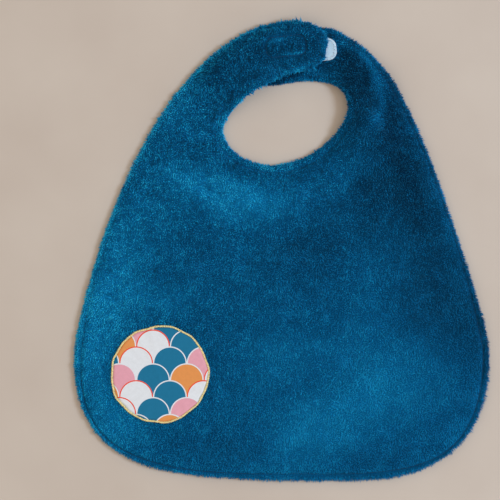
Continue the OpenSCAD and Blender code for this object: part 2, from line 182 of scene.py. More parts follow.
# The cloth is one band from the top strap's tip, round the hem, to the under strap's tip.
# Each span: outer curve, from, to, inner curve, from, to, stations, whether it is a round tip.
SPANS = (
    (TOP_TIP_OUT, 1, 0, TOP_TIP_IN, 1, 0, 18, True),
    (LEFT_SIDE, 1, FOLD_2_OUT, TOP_LAP_IN, 1, 0, 16, False),
    (LEFT_SIDE, FOLD_2_OUT, FOLD_1_OUT, NECK_LEFT_HIGH, 1, FOLD_1_IN, 18, False),
    (LEFT_SIDE, FOLD_1_OUT, SHOULDER_LEFT, NECK_LEFT_HIGH, FOLD_1_IN, 0, 12, False),
    (LEFT_SIDE, SHOULDER_LEFT, 0, NECK_LEFT_LOW, 0, NECK_SPLIT_LEFT, 32, False),
    (HEM_LEFT, 1, 0, NECK_LEFT_LOW, NECK_SPLIT_LEFT, 1, 52, False),
    (HEM_RIGHT, 0, 1, NECK_RIGHT_LOW, 0, NECK_SPLIT_RIGHT, 52, False),
    (RIGHT_SIDE, 0, SHOULDER_RIGHT, NECK_RIGHT_LOW, NECK_SPLIT_RIGHT, 1, 34, False),
    (RIGHT_SIDE, SHOULDER_RIGHT, 1, NECK_RIGHT_HIGH, 0, 1, 30, False),
    (UNDER_LAP_TOP, 0, 1, UNDER_LAP_LOW, 0, 1, 14, False),
    (UNDER_TIP_OUT, 0, 1, UNDER_TIP_IN, 0, 1, 18, True),
)
# The station along the band at which each span starts, and the last station.
(
    AT_TIP, AT_LAP, AT_FOLD_2, AT_FOLD_1, AT_LEFT_SHOULDER, AT_LEFT, AT_HEM, AT_RIGHT,
    AT_RIGHT_SHOULDER, AT_UNDER_LAP, AT_UNDER_ROUND, LAST_STATION,
) = np.cumsum([0] + [span[6] for span in SPANS]).tolist()
STATIONS = np.arange(LAST_STATION + 1)
# Where the strap's two parts meet, and where the strap meets the body.
ROOT_MIDDLE = (AT_FOLD_2 + AT_FOLD_1) // 2
SHOULDER_JOIN = AT_LEFT_SHOULDER + 5


def curve_at(c, t):
    t = np.asarray(t, float)[..., None]
    return (1 - t) ** 3 * c[0] + 3 * (1 - t) ** 2 * t * c[1] + 3 * (1 - t) * t**2 * c[2] + t**3 * c[3]


def curve_way(c, t):
    t = np.asarray(t, float)[..., None]
    return unit((1 - t) ** 2 * (c[1] - c[0]) + 2 * (1 - t) * t * (c[2] - c[1]) + t**2 * (c[3] - c[2]))


def unit(v):
    return v / np.linalg.norm(v, axis=-1, keepdims=True)


def left_of(v):
    return np.stack([-v[..., 1], v[..., 0]], -1)


def dot(a, b):
    return (a * b).sum(-1)


def smooth(f):
    f = np.clip(f, 0, 1)
    return f * f * (3 - 2 * f)


def bell(distance, spread, middle=0):
    """A soft hump that is 1 at its middle and falls off to both sides."""
    return np.exp(-(((distance - middle) / spread) ** 2))


def by_station(marks):
    """A value for every station, from values at a few of them."""
    return np.interp(STATIONS, list(marks), list(marks.values()))


def band_edges():
    """The two edge points of every station, and the way from each into the cloth."""
    outer, into_outer, inner, into_inner = [], [], [], []
    for k, (a, a0, a1, b, b0, b1, count, tip) in enumerate(SPANS):
        f = np.arange(count + (k == len(SPANS) - 1)) / count
        ta, tb = a0 + (a1 - a0) * f, b0 + (b1 - b0) * f
        pa, pb = curve_at(a, ta), curve_at(b, tb)
        na = left_of(curve_way(a, ta) * np.sign(a1 - a0))
        nb = -left_of(curve_way(b, tb) * np.sign(b1 - b0))
        if not tip:
            across = unit(pb - pa)
            na = across / dot(across, na)[:, None]
            nb = -across / dot(-across, nb)[:, None]
        outer.append(pa)
        into_outer.append(na)
        inner.append(pb)
        into_inner.append(nb)
    return [np.concatenate(part) for part in (outer, into_outer, inner, into_inner)]


OUTER, INTO_OUTER, INNER, INTO_INNER = band_edges()

# How far the soft edge lies outside its cut, and how far inside its cut the stitching shows, as the
# edge rolls over more in some places than in others. Both are in millimetres, along the outer edge and
# the neck.
EDGE_OUT = by_station({
    AT_TIP: 0.6, AT_TIP + 3: 2.6, AT_TIP + 7: 2.2, AT_TIP + 12: 0.3, AT_LAP: -0.6,
    AT_FOLD_2: -0.3, AT_FOLD_2 + 6: 0.2, AT_LEFT_SHOULDER: 0.5, AT_LEFT_SHOULDER + 20: -0.8,
    AT_LEFT - 3: 1.2, AT_LEFT + 14: -0.6, AT_LEFT + 32: 1.0, AT_LEFT + 44: -0.8,
    AT_HEM + 6: -0.3, AT_HEM + 18: 1.2, AT_HEM + 32: 0.0, AT_HEM + 46: 1.9,
    AT_RIGHT + 9: 2.3, AT_RIGHT + 22: -1.2, AT_RIGHT_SHOULDER + 6: 1.3, AT_RIGHT_SHOULDER + 22: -0.8,
    AT_UNDER_LAP - 3: 0.8, AT_UNDER_LAP + 2: 1.4, AT_UNDER_LAP + 8: 0.4, AT_UNDER_ROUND: 0,
})
STITCH_SHOWS = by_station({
    AT_LEFT_SHOULDER: STITCH_INSET, AT_LEFT: 5.2, AT_LEFT + 22: 3.0, AT_LEFT + 36: 3.5,
    AT_HEM: 6.2, AT_HEM + 16: 4.8, AT_HEM + 30: 2.7, AT_RIGHT + 22: 2.8, AT_UNDER_LAP: STITCH_INSET,
})
NECK_OUT = by_station({
    AT_TIP: 0.6, AT_TIP + 6: 0, AT_LEFT_SHOULDER + 10: 0, AT_LEFT + 10: -0.5, AT_LEFT + 44: -0.4,
    AT_HEM + 4: 0.3, AT_HEM + 14: 0.9, AT_HEM + 44: 0.8, AT_RIGHT + 14: 0.2,
    AT_RIGHT_SHOULDER + 10: 0, AT_RIGHT_SHOULDER + 24: -0.6, AT_UNDER_LAP + 8: -0.4, AT_UNDER_ROUND: 0,
})
NECK_STITCH_SHOWS = by_station({
    AT_LAP: STITCH_INSET, AT_FOLD_1: 6.9, AT_RIGHT_SHOULDER: 6.9, AT_UNDER_LAP: STITCH_INSET,
})


def row_at(inset, inner=False):
    """A line along the band that lies at a distance from one of its edges in the flat cloth."""
    out, shows = (NECK_OUT, NECK_STITCH_SHOWS) if inner else (EDGE_OUT, STITCH_SHOWS)
    if inset < STITCH_INSET:
        f = (inset - EDGE_IN) / (STITCH_INSET - EDGE_IN)
        lies = (EDGE_IN - out) * (1 - f) + shows * f
    else:
        f = (inset - STITCH_INSET) / (ROW_INSETS[-1] - STITCH_INSET)
        lies = shows * (1 - f) + ROW_INSETS[-1] * f
    edge, into = (INNER, INTO_INNER) if inner else (OUTER, INTO_OUTER)
    return edge + into * lies[:, None]


def band_plan():
    """Plan positions of the whole band as stations by rows, with each point's distance from the edge."""
    deepest = ROW_INSETS[-1]
    rows = [row_at(d) for d in ROW_INSETS]
    insets = [np.full(len(OUTER), d) for d in ROW_INSETS]
    a, b = row_at(deepest), row_at(deepest, True)
    width = np.linalg.norm(b - a, axis=-1)
    for k in range(1, FIELD_ROWS):
        f = k / FIELD_ROWS
        rows.append(a + (b - a) * f)
        insets.append(deepest + width * min(f, 1 - f))
    rows += [row_at(d, True) for d in reversed(ROW_INSETS)]
    insets += [np.full(len(OUTER), d) for d in reversed(ROW_INSETS)]
    return np.stack(rows, 1), np.stack(insets, 1)


def way_over(a, b):
    """The way along the strap, square to the fold from a to b."""
    return left_of((a - b) / np.linalg.norm(a - b))


FOLD_1_A, FOLD_1_B = curve_at(NECK_LEFT_HIGH, FOLD_1_IN), curve_at(LEFT_SIDE, FOLD_1_OUT)
FOLD_2_A, FOLD_2_B = curve_at(NECK_LEFT_HIGH, 1), curve_at(LEFT_SIDE, FOLD_2_OUT)
WAY_1, WAY_2 = way_over(FOLD_1_A, FOLD_1_B), way_over(FOLD_2_A, FOLD_2_B)


def lift(p, stations):
    """How far the cloth is lifted: the top strap's climb and the ridge on the right shoulder."""
    climb = STRAP_RISE * smooth((dot(p - FOLD_1_A, WAY_1) - CLIMB_FROM) / (CLIMB_TO - CLIMB_FROM))
    on_strap = (stations < AT_LEFT).reshape((-1,) + (1,) * (p.ndim - 2))
    a, b = np.array(RIDGE_TOP, float), np.array(RIDGE_LOW, float)
    f = np.clip(dot(p - a, b - a) / dot(b - a, b - a), 0, 1)[..., None]
    away = np.linalg.norm(p - (a + (b - a) * f), axis=-1)
    ridge = RIDGE_H * np.maximum(0, 1 - (away / RIDGE_REACH) ** 2) ** 2
    return climb * on_strap + ridge * ~on_strap


def tape_distance(p, centre, half, corner):
    """Distance outside a tape's rounded outline, negative inside it."""
    turn = math.radians(TAPE_TURN)
    x, y = p[..., 0] - centre[0], p[..., 1] - centre[1]
    along = np.abs(x * math.cos(turn) + y * math.sin(turn)) - half[0] + corner
    across = np.abs(y * math.cos(turn) - x * math.sin(turn)) - half[1] + corner
    outside = np.hypot(np.maximum(along, 0), np.maximum(across, 0))
    return outside + np.minimum(np.maximum(along, across), 0) - corner


def lies_at(p, stations, inset, outer):
    """How far the cloth is lifted at a distance from its edge, which droops where nothing is under it."""
    rise = lift(p, stations)
    held = np.clip(rise / STRAP_RISE, 0, 1)
    off_tape = smooth(tape_distance(p, *HOOK) / FREE_OF_TAPE)
    hangs = held * outer * off_tape * STRAP_HANGS[stations][:, None]
    droop = EDGE_DROOP * (1 - held) * (1 - smooth(inset / DROOP_REACH))
    return rise - droop - STRAP_DROOP * hangs * (1 - smooth(inset / STRAP_DROOP_REACH))


def base_half(inset, pull):
    """Half the thickness of the two base cloths, pulled in along the edge stitching."""
    u = np.clip((inset - EDGE_IN) / EDGE_ROUND, 0, 1)
    dip = pull * STITCH_DIP * bell(inset, STITCH_SPREAD, STITCH_INSET)
    return BASE_HALF * np.sqrt(1 - (1 - u) ** 2) - dip


# How freely the outer edge hangs at each station, from 0 to 1.
STRAP_HANGS = by_station({AT_TIP + 10: 0, AT_LAP + 4: 1, AT_LEFT - 1: 1, AT_LEFT: 0})
PLAN, INSET = band_plan()
OUTER_HALF = np.arange(PLAN.shape[1]) < PLAN.shape[1] / 2
LIFT = lies_at(PLAN, STATIONS, INSET, OUTER_HALF)

# How hard the edge stitching pulls the pile in, from 0 to 1, along the outer edge and on the neck.
PULL_OUTER = by_station({
    AT_TIP: 0.3, AT_FOLD_1: 0.25, AT_LEFT_SHOULDER: 0.15, AT_LEFT - 4: 0.3, AT_LEFT + 6: 1.0,
    AT_RIGHT: 1.0, AT_RIGHT + 10: 0.65, AT_RIGHT_SHOULDER: 0.6, AT_UNDER_LAP: 0.4, LAST_STATION: 0.3,
})
NECK_PULL = by_station({AT_FOLD_1: 0.3, AT_LEFT: 0.6, AT_HEM + 30: 0.6, AT_RIGHT_SHOULDER: 0.3})
PULL = np.where(OUTER_HALF, PULL_OUTER[:, None], NECK_PULL[:, None])

# How long the pile of the edge is, against its usual length, along the outer edge and on the neck.
FRINGE_OUTER = by_station({
    AT_TIP: 1.3, AT_LAP: 1.2, AT_FOLD_1: 1.2, AT_LEFT_SHOULDER: 1.35, AT_LEFT_SHOULDER + 16: 1.1,
    AT_LEFT: 1.2, AT_LEFT + 16: 1.35, AT_HEM: 1.4, AT_HEM + 36: 1.55, AT_RIGHT: 1.6, AT_RIGHT + 14: 1.35,
    AT_RIGHT_SHOULDER + 16: 1.2, AT_UNDER_LAP: 1.0, LAST_STATION: 1.0,
})
FRINGE_NECK = by_station({
    AT_TIP: 1.3, AT_FOLD_2: 1.05, AT_FOLD_1: 0.85, AT_LEFT: 1.15,
    AT_RIGHT_SHOULDER - 8: 1.25, AT_RIGHT_SHOULDER + 8: 0.85,
})
FRINGE = np.where(OUTER_HALF, FRINGE_OUTER[:, None], FRINGE_NECK[:, None])

# How much lighter or darker the pile looks where the outer edge turns it away from the window or
# towards it, and how far in from the edge, in millimetres, that reaches.
EDGE_LIT = by_station({
    AT_TIP: 0.0, AT_LAP + 6: 0.35, AT_FOLD_2: 0.6, AT_LEFT_SHOULDER + 18: 0.5, AT_LEFT: 0.25,
    AT_LEFT + 16: 0.05, AT_HEM + 20: 0.0, AT_HEM + 34: -0.15, AT_RIGHT: -0.3, AT_RIGHT + 12: -0.25,
    AT_RIGHT + 26: -0.05, AT_UNDER_LAP: 0.0,
})
LIT_REACH = by_station({AT_FOLD_2: 6.5, AT_LEFT_SHOULDER: 4.5, AT_HEM: 4.0, AT_RIGHT: 6.0})

# Painted highlight on the rolled rim of the neck, most of all at its lip, and painted shade on the pile
# just past it.
NECK_LIT = by_station({
    AT_LAP: 0, AT_FOLD_2: 0.14, AT_FOLD_1: 0.22, AT_LEFT_SHOULDER: 0.34, AT_LEFT - 6: 0.34,
    AT_LEFT + 8: 0.14, AT_LEFT + 34: 0.16, AT_LEFT + 46: 0.46, AT_HEM + 12: 0.46, AT_HEM + 24: 0.16,
    AT_RIGHT: 0.1, AT_RIGHT_SHOULDER: 0.08, AT_RIGHT_SHOULDER + 20: 0,
})
NECK_DIM = by_station({
    AT_LAP: 0, AT_FOLD_2: 0.2, AT_FOLD_1: 0.16, AT_LEFT_SHOULDER: 0.06, AT_LEFT - 6: 0.06,
    AT_LEFT + 8: 0.2, AT_LEFT + 40: 0.2, AT_HEM: 0.16, AT_HEM + 18: 0.28, AT_HEM + 44: 0.26,
    AT_RIGHT + 10: 0.1, AT_RIGHT_SHOULDER: 0.08, AT_RIGHT_SHOULDER + 20: 0,
})
ROLL_WIDTH, LIP_WIDTH, LIP_LIGHT = 5.8, 2, 0.35
DIM_AT, DIM_WIDTH = 10, 5.5
RIM_LIT = np.exp(-((INSET / ROLL_WIDTH) ** 4)) + LIP_LIGHT * bell(INSET, LIP_WIDTH)
SHADE_PAST_RIM = bell(INSET, DIM_WIDTH, DIM_AT)

# The pile stands up in a ridge beside the hem's stitching, which gets a painted highlight.
HEM_RIDGE_HIGHLIGHT = by_station({AT_LEFT + 10: 0, AT_LEFT + 20: 0.09, AT_HEM + 40: 0.09, AT_RIGHT: 0})
HEM_RIDGE_AT, HEM_RIDGE_WIDTH = 9, 3.5

# The painted light and shade of the edges, which the tufts' tone takes: at the outer edge, on the neck's
# rim and past it, and on the hem's ridge.
LIT = OUTER_HALF * EDGE_LIT[:, None] * bell(INSET, LIT_REACH[:, None])
LIT = LIT + ~OUTER_HALF * (NECK_LIT[:, None] * RIM_LIT - NECK_DIM[:, None] * SHADE_PAST_RIM)
LIT = LIT + OUTER_HALF * HEM_RIDGE_HIGHLIGHT[:, None] * bell(INSET, HEM_RIDGE_WIDTH, HEM_RIDGE_AT)

# How strongly the tufts differ from one another, along the way from the lower right to the upper left,
# and less so round one place on the right shoulder. Then how far past the range of the patches of
# painted light and shade that takes their tone.
GRAIN_ALONG = {-200: 0.5, -25: 0.88, 90: 1.2, 170: 1.4}
EVEN_AT, EVEN_REACH, EVEN_SHARE = (84, 112), 45, 0.3
GRAIN = np.interp(PLAN[..., 1] - PLAN[..., 0], list(GRAIN_ALONG), list(GRAIN_ALONG.values()))
GRAIN = GRAIN * (1 - EVEN_SHARE * bell(np.linalg.norm(PLAN - EVEN_AT, axis=-1), EVEN_REACH))
TONE_ROOM = 0.3

# How far the edges of the patches of painted light and shade wander, in metres: little where a fold or a
# tape shapes them.
WANDER = by_station({
    AT_TIP: 0.006, AT_FOLD_2: 0.015, AT_LEFT_SHOULDER: 0.055, AT_RIGHT + 8: 0.055,
    AT_RIGHT + 22: 0.007, LAST_STATION: 0.008,
})

# Patches of painted light and shade on the pile: partly how the brushed nap catches the window's light,
# partly painted shade in the fold's trough, on the right side and at the right rim. Each patch is a centre,
# half length, half width, turn and how much lighter (or darker) than the middle shade the pile is painted
# there.
MIDDLE_SHADE = 0.5
BRUSHED_LIGHT_AND_SHADE = {
    "below_neck": (-28, 40, 44, 16, -6, 0.5),
    "below_neck_left": (-76, 60, 32, 15, -24, 0.3),
    "neck_left": (-64, 100, 12, 24, 10, 0.1),
    "left_shoulder": (-84, 112, 24, 10, 52, 0.22),
    "left_upper": (-98, 16, 26, 26, 0, 0.04),
    "left_band": (-132, -20, 22, 60, -14, 0.34),
    "left_edge": (-150, -74, 18, 46, -4, 0.36),
    "left_corner": (-132, -134, 22, 20, -40, 0.38),
    "left_middle": (-98, -40, 28, 12, 0, 0.3),
    "hem_right": (74, -114, 62, 30, 30, 0.32),
    "hem_middle": (20, -150, 30, 22, 10, 0.22),
    "middle_low": (30, -78, 60, 14, 10, 0.12),
    "low_middle": (-10, -88, 24, 40, 0, 0.08),
    "neck_right_low": (62, 69, 18, 7, 32, 0.24),
    "right_streak": (66, -34, 10, 30, 0, 0.12),
    "right_rim_shade": (154, -70, 16, 40, 0, -0.22),
    "right_shoulder": (82, 116, 18, 36, 0, -0.34),
    "fold_trough_shade": (59, 141, 18, 9, -74, -0.45),
    "neck_right": (58, 108, 28, 11, -80, -0.2),
    "right_upper": (104, 52, 20, 74, 18, -0.45),
    "right_under_neck": (72, 42, 20, 32, 10, -0.32),
    "right_side": (120, -42, 28, 40, 14, -0.24),
    "middle": (26, 2, 34, 30, 0, -0.28),
    "hem_left": (-54, -160, 36, 12, 6, -0.14),
    "below_neck_end": (-64, 37, 16, 9, 0, -0.12),
    "left_of_neck": (-84, 80, 36, 12, 0, -0.08),
    "hem_low_right": (84, -168, 44, 10, 12, -0.2),
    "top_strap": (-30, 154, 46, 18, 34, -0.27),
    "under_strap": (50, 152, 26, 17, -38, -0.3),
}
# Painted light and shade on the top strap: painted highlights on the ridges beside the hook tape's seam,
# along the strap's lower edge and round its tip, and a darker tip.
STRAP_LIGHT_AND_SHADE = {
    "tip": (16, 160, 24, 16, 10, -0.22),
    "tape_ridge_highlight_high": (-2, 168, 11, 3, 14, 0.5),
    "tape_ridge_highlight_low": (10, 157, 9, 1.5, 7, 0.65),
    "lower_edge": (14, 145, 17, 2.2, 24, 0.4),
    "tip_edge": (33, 162, 8, 2.4, 80, 0.4),
}
# Painted shadow that the top strap's lower edge casts on the under strap.
UNDER_STRAP_SHADOW = {
    "shadow_below_strap": (4, 139, 22, 3.2, 22, -0.55),
}

# The painted highlight along the crest of the soft fold on the right shoulder: its line, its half width at
# the top and at the foot, how much lighter the pile is painted along it, and how fast that fades in at the
# top and out at the foot.
CREST = np.array([(57, 167), (76, 145), (95, 116), (62, 87)], float)
CREST_WIDTHS = (2.6, 6.5)
CREST_HIGHLIGHT = 0.47
CREST_FADES = (6, 4)
CREST_POINTS = 41


def patch_light_and_shade(p, patches):
    """Painted light and shade on the pile at a place: the sum of the patches' painted highlights and shade.
    """
    shade = np.zeros(p.shape[:-1])
    for x, y, length, width, turn, strength in patches.values():
        c, s = math.cos(math.radians(turn)), math.sin(math.radians(turn))
        dx, dy = p[..., 0] - x, p[..., 1] - y
        u, v = (dx * c + dy * s) / length, (dy * c - dx * s) / width
        shade += strength * np.exp(-(u * u + v * v))
    return shade


def crest_highlight(p):
    """Painted highlight on the pile near the crest of the fold."""
    along = np.linspace(0, 1, CREST_POINTS)
    line, width = curve_at(CREST, along), np.interp(along, (0, 1), CREST_WIDTHS)
    fade = CREST_HIGHLIGHT * smooth(CREST_FADES[0] * along) * smooth(CREST_FADES[1] * (1 - along))
    return np.max(fade * bell(np.linalg.norm(p[..., None, :] - line, axis=-1), width), axis=-1)


ON_TOP_STRAP = (STATIONS < AT_LEFT)[:, None]
ON_UNDER_STRAP = (STATIONS > AT_RIGHT_SHOULDER)[:, None]
# The pile's shade: painted light and shade from the patches, the painted highlight on the fold's crest and
# the painted shadow below the top strap.
SHADE = MIDDLE_SHADE + patch_light_and_shade(PLAN, BRUSHED_LIGHT_AND_SHADE) + ON_TOP_STRAP * patch_light_and_shade(PLAN, STRAP_LIGHT_AND_SHADE)
SHADE = SHADE + ~ON_TOP_STRAP * crest_highlight(PLAN)
SHADE = np.clip(SHADE + ON_UNDER_STRAP * patch_light_and_shade(PLAN, UNDER_STRAP_SHADOW), 0, 1)


class Output:
    """One output of a node, which formulas take like a number or a vector."""

    def __init__(self, socket):
        self.socket, self.tree = socket, socket.id_data
        self.is_vector = socket.type in ("VECTOR", "RGBA")

    def __add__(self, other):
        return reckoned("ADD", self, other)

    def __sub__(self, other):
        return reckoned("SUBTRACT", self, other)

    def __rsub__(self, other):
        return reckoned("SUBTRACT", other, self)

    def __mul__(self, other):
        if self.is_vector and not isinstance(other, tuple) and not getattr(other, "is_vector", False):
            return reckoned("SCALE", self, Scale=other)
        return reckoned("MULTIPLY", self, other)

    def __truediv__(self, other):
        return reckoned("DIVIDE", self, other)

    def __rtruediv__(self, other):
        return reckoned("DIVIDE", other, self)

    def __lt__(self, other):
        return reckoned("LESS_THAN", self, other)

    def __gt__(self, other):
        return reckoned("GREATER_THAN", self, other)

    def __abs__(self):
        return reckoned("ABSOLUTE", self)

    __radd__, __rmul__ = __add__, __mul__


class Outputs:
    """The outputs of a node, by name or number."""

    def __init__(self, node):
        self.node = node

    def __getitem__(self, key):
        return Output(self.node.outputs[key])


def put(tree, kind, sockets=None, **settings):
    """The outputs of a new node with its settings, and a value or a link on each named socket."""
    node = tree.nodes.new(kind)
    for key, value in settings.items():
        setattr(node, key, value)
    for key, value in (sockets or {}).items():
        if isinstance(value, Output):
            tree.links.new(value.socket, node.inputs[key])
        else:
            node.inputs[key].default_value = value
    return Outputs(node)


def reckoned(operation, *values, **more):
    """What a math node makes of numbers or vectors, of which at least one is an output."""
    outputs = [value for value in values if isinstance(value, Output)]
    kind = "ShaderNodeVectorMath" if any(value.is_vector for value in outputs) else "ShaderNodeMath"
    return put(outputs[0].tree, kind, {**dict(enumerate(values)), **more}, operation=operation)[0]


def most(a, b):
    return reckoned("MAXIMUM", a, b)


def least(a, b):
    return reckoned("MINIMUM", a, b)


def length_of(vector):
    return put(vector.tree, "ShaderNodeVectorMath", {0: vector}, operation="LENGTH")["Value"]


def xyz(**axes):
    tree = next(iter(axes.values())).tree
    return put(tree, "ShaderNodeCombineXYZ", axes)[0]


def axes_of(vector):
    parts = put(vector.tree, "ShaderNodeSeparateXYZ", {"Vector": vector})
    return [parts[label] for label in "XYZ"]


def spun(vector, angle):
    """A vector turned about Z."""
    sockets = {"Vector": vector, "Angle": angle}
    return put(vector.tree, "ShaderNodeVectorRotate", sockets, rotation_type="Z_AXIS")[0]


def mapped(value, low, high, to_low=0.0, to_high=1.0, **settings):
    """A value taken from one range to another, and kept within it."""
    return put(value.tree, "ShaderNodeMapRange", {
        "Value": value, "From Min": low, "From Max": high, "To Min": to_low, "To Max": to_high,
    }, **settings)[0]


# What a noise comes to on the whole.
NOISE_MIDDLE = 0.5


def noise(place, scale, detail, roughness=0.5):
    return put(place.tree, "ShaderNodeTexNoise", {
        "Vector": place, "Scale": scale, "Detail": detail, "Roughness": roughness,
    })


def uneven(place, strength, **kind):
    """A number that differs from place to place, about 0 and of a strength."""
    return (noise(place, **kind)["Fac"] - NOISE_MIDDLE) * strength


def uneven_way(place, strength, **kind):
    """A vector that differs from place to place, about 0 and of a strength."""
    return (noise(place, **kind)["Color"] - (NOISE_MIDDLE,) * 3) * strength


def attribute(tree, name, kind="FLOAT"):
    return put(tree, "GeometryNodeInputNamedAttribute", {"Name": name}, data_type=kind)[0]


def stored(geometry, name, value):
    return put(geometry.tree, "GeometryNodeStoreNamedAttribute", {
        "Geometry": geometry, "Name": name, "Value": value,
    }, data_type="FLOAT", domain="POINT")[0]


def captured(geometry, name, value):
    """A geometry that keeps a vector of each of its points, and that vector."""
    kept = put(geometry.tree, "GeometryNodeCaptureAttribute", {"Geometry": geometry})
    kept.node.capture_items.new("VECTOR", name)
    geometry.tree.links.new(value.socket, kept.node.inputs[name])
    return kept["Geometry"], kept[name]


def moved(geometry, **sockets):
    return put(geometry.tree, "GeometryNodeSetPosition", {"Geometry": geometry, **sockets})[0]


def random_between(tree, low, high, seed):
    sockets = {2: low, 3: high, "Seed": seed}
    return put(tree, "FunctionNodeRandomValue", sockets, data_type="FLOAT")[1]


def random_way(tree, reach, seed):
    """A random vector within a reach of 0 on each axis."""
    sockets = {0: tuple(-r for r in reach), 1: reach, "Seed": seed}
    return put(tree, "FunctionNodeRandomValue", sockets, data_type="FLOAT_VECTOR")[0]


def aimed(way, axis):
    """The rotation that points an axis along a way."""
    return put(way.tree, "FunctionNodeAlignRotationToVector", {"Vector": way}, axis=axis)[0]


def turned(rotation, angle):
    """A rotation turned further about its own Z."""
    turn = put(angle.tree, "FunctionNodeAxisAngleToRotation", {"Axis": (0, 0, 1), "Angle": angle})[0]
    return put(angle.tree, "FunctionNodeRotateRotation", {0: rotation, 1: turn}, rotation_space="LOCAL")[0]


def scattered(ins, **more):
    """Points all over the faces of a mesh, none nearer to another than the spacing."""
    mesh, spacing, seed = ins["Geometry"], ins["Spacing"], ins["Seed"]
    crowd = CROWD / (spacing * spacing)
    return put(mesh.tree, "GeometryNodeDistributePointsOnFaces", {
        "Mesh": mesh, "Distance Min": spacing, "Density Max": crowd, "Seed": seed, **more,
    }, distribute_method="POISSON")


def set_out(points, instance, rotation, scale):
    """Copies of a shape on points."""
    return put(points.tree, "GeometryNodeInstanceOnPoints", {
        "Points": points, "Instance": instance, "Rotation": rotation, "Scale": scale,
    })[0]


def realized(geometry):
    return put(geometry.tree, "GeometryNodeRealizeInstances", {"Geometry": geometry})[0]


def geometry_tree(name, inputs):
    """A Geometry Nodes tree with named inputs. Returns it with its input sockets and its output node."""
    tree = bpy.data.node_groups.new(name, "GeometryNodeTree")
    tree.interface.new_socket("Geometry", in_out="INPUT", socket_type="NodeSocketGeometry")
    for label, kind in inputs.items():
        tree.interface.new_socket(label, in_out="INPUT", socket_type="NodeSocket" + kind)
    tree.interface.new_socket("Geometry", in_out="OUTPUT", socket_type="NodeSocketGeometry")
    return tree, put(tree, "NodeGroupInput"), tree.nodes.new("NodeGroupOutput")


def close_tree(geometry, material, end):
    """Realizes what a tree made, gives it its material and hands it out."""
    tree, real = geometry.tree, realized(geometry)
    rounded = put(tree, "GeometryNodeSetShadeSmooth", {"Geometry": real, "Shade Smooth": True})[0]
    dressed = put(tree, "GeometryNodeSetMaterial", {"Geometry": rounded, "Material": material})[0]
    tree.links.new(dressed.socket, end.inputs[0])
    return tree


# Points that are offered to a surface for each square of the spacing.
CROWD = 3.0

# The pile. How tall it stands beside a seam: from, to, in millimetres, and the least share of its height.
EDGE_SEAM_PRESS = (0.5, 2.0, 0.25)
TAPE_SEAM_PRESS = (0.4, 2.3, 0.1)
# How long the tufts are, how far in from the edge the fringe reaches, and its least length.
TUFT_LENGTHS = (0.75, 1.2)
FRINGE_REACH, LEAST_FRINGE = 3.5, 0.2
SHAG = dict(scale=300.0, detail=3.0, roughness=0.6)
# How the tufts lie: combed in patches, each with a little stray of its own.
COMB, COMB_STRENGTH = dict(scale=70.0, detail=3.0, roughness=0.55), 3.0
TUFT_STRAY = (0.5, 0.5, 0.3)
FULL_TURN = 6.283
# How the tufts differ in tone: by the patches of painted light and shade, by clump, by the rows of the
# knit, one by one, and by painted shade in the seams' grooves.
PATCH_EDGES = dict(scale=28.0, detail=5.0, roughness=0.65)
CLUMPS, CLUMP_TONE = dict(scale=110.0, detail=4.0, roughness=0.85), 1.05
KNIT, KNIT_TONE = dict(scale=1.0, detail=1.0), 1.15
KNIT_FINE, KNIT_LONG = 1100, 170
SPECKLE = 0.07
SEAM_SHADE, TAPE_SEAM_SHADE = 0.45, 0.3
# One tuft.
TUFT_SIDES, TUFT_STEPS, TUFT_BELLY = 3, 2, 3.4


def tape_field(position, ins):
    """Signed distance from a tape's rounded outline, in a tree with the tape's inputs."""
    corner = ins["Tape corner"]
    local = spun(position - ins["Tape centre"], ins["Tape turn"] * -1)
    x, y, _ = axes_of(abs(local) - ins["Tape half"] + xyz(X=corner, Y=corner))
    return length_of(xyz(X=most(x, 0), Y=most(y, 0))) + least(most(x, y), 0) - corner


def pile_stands(ins, inset, off_tape, pull):
    """How tall the pile stands, from 0 to 1: beside all the seams, and beside the tape's seam alone."""

    def stood(distance, near, far, low):
        return mapped(distance, near * MM, far * MM, low, interpolation_type="SMOOTHSTEP")

    by_edge = stood(abs(inset - STITCH_INSET * MM), *EDGE_SEAM_PRESS)
    by_tape = stood(abs(off_tape + TAPE_SEAM_INSET * MM) + (1 - ins["Tape seam"]), *TAPE_SEAM_PRESS)
    return least(1 - (1 - by_edge) * pull, by_tape), by_tape


def tuft_height(ins, position, inset, off_tape, standing):
    """How tall each tuft is: uneven, with a shaggy fringe at the edge, and longer beside a bare tape."""
    tree = position.tree
    at_edge = mapped(inset, EDGE_IN * MM, FRINGE_REACH * MM, 1, 0)
    shag = (1 + uneven(position, ins["Shag"], **SHAG)) * attribute(tree, "fringe") - 1
    length = random_between(tree, *TUFT_LENGTHS, seed=11) * most(1 + at_edge * shag, LEAST_FRINGE)
    hug = 1 + mapped(off_tape, 0, TAPE_HUG * MM, HUG_LENGTH, 0) * ins["Tape bare"]
    return ins["Height"] * standing * length * hug


def tuft_turn(ins, position, up):
    """How each tuft is turned: up from the cloth, leaning with the nap as it was combed."""
    tree = position.tree
    way = attribute(tree, "nap", "FLOAT_VECTOR") + uneven_way(position, COMB_STRENGTH, **COMB)
    way = (way + random_way(tree, TUFT_STRAY, seed=5)) * ins["Lean"]
    stand = aimed(reckoned("NORMALIZE", up + way), "Z")
    return turned(stand, random_between(tree, 0, FULL_TURN, seed=7))


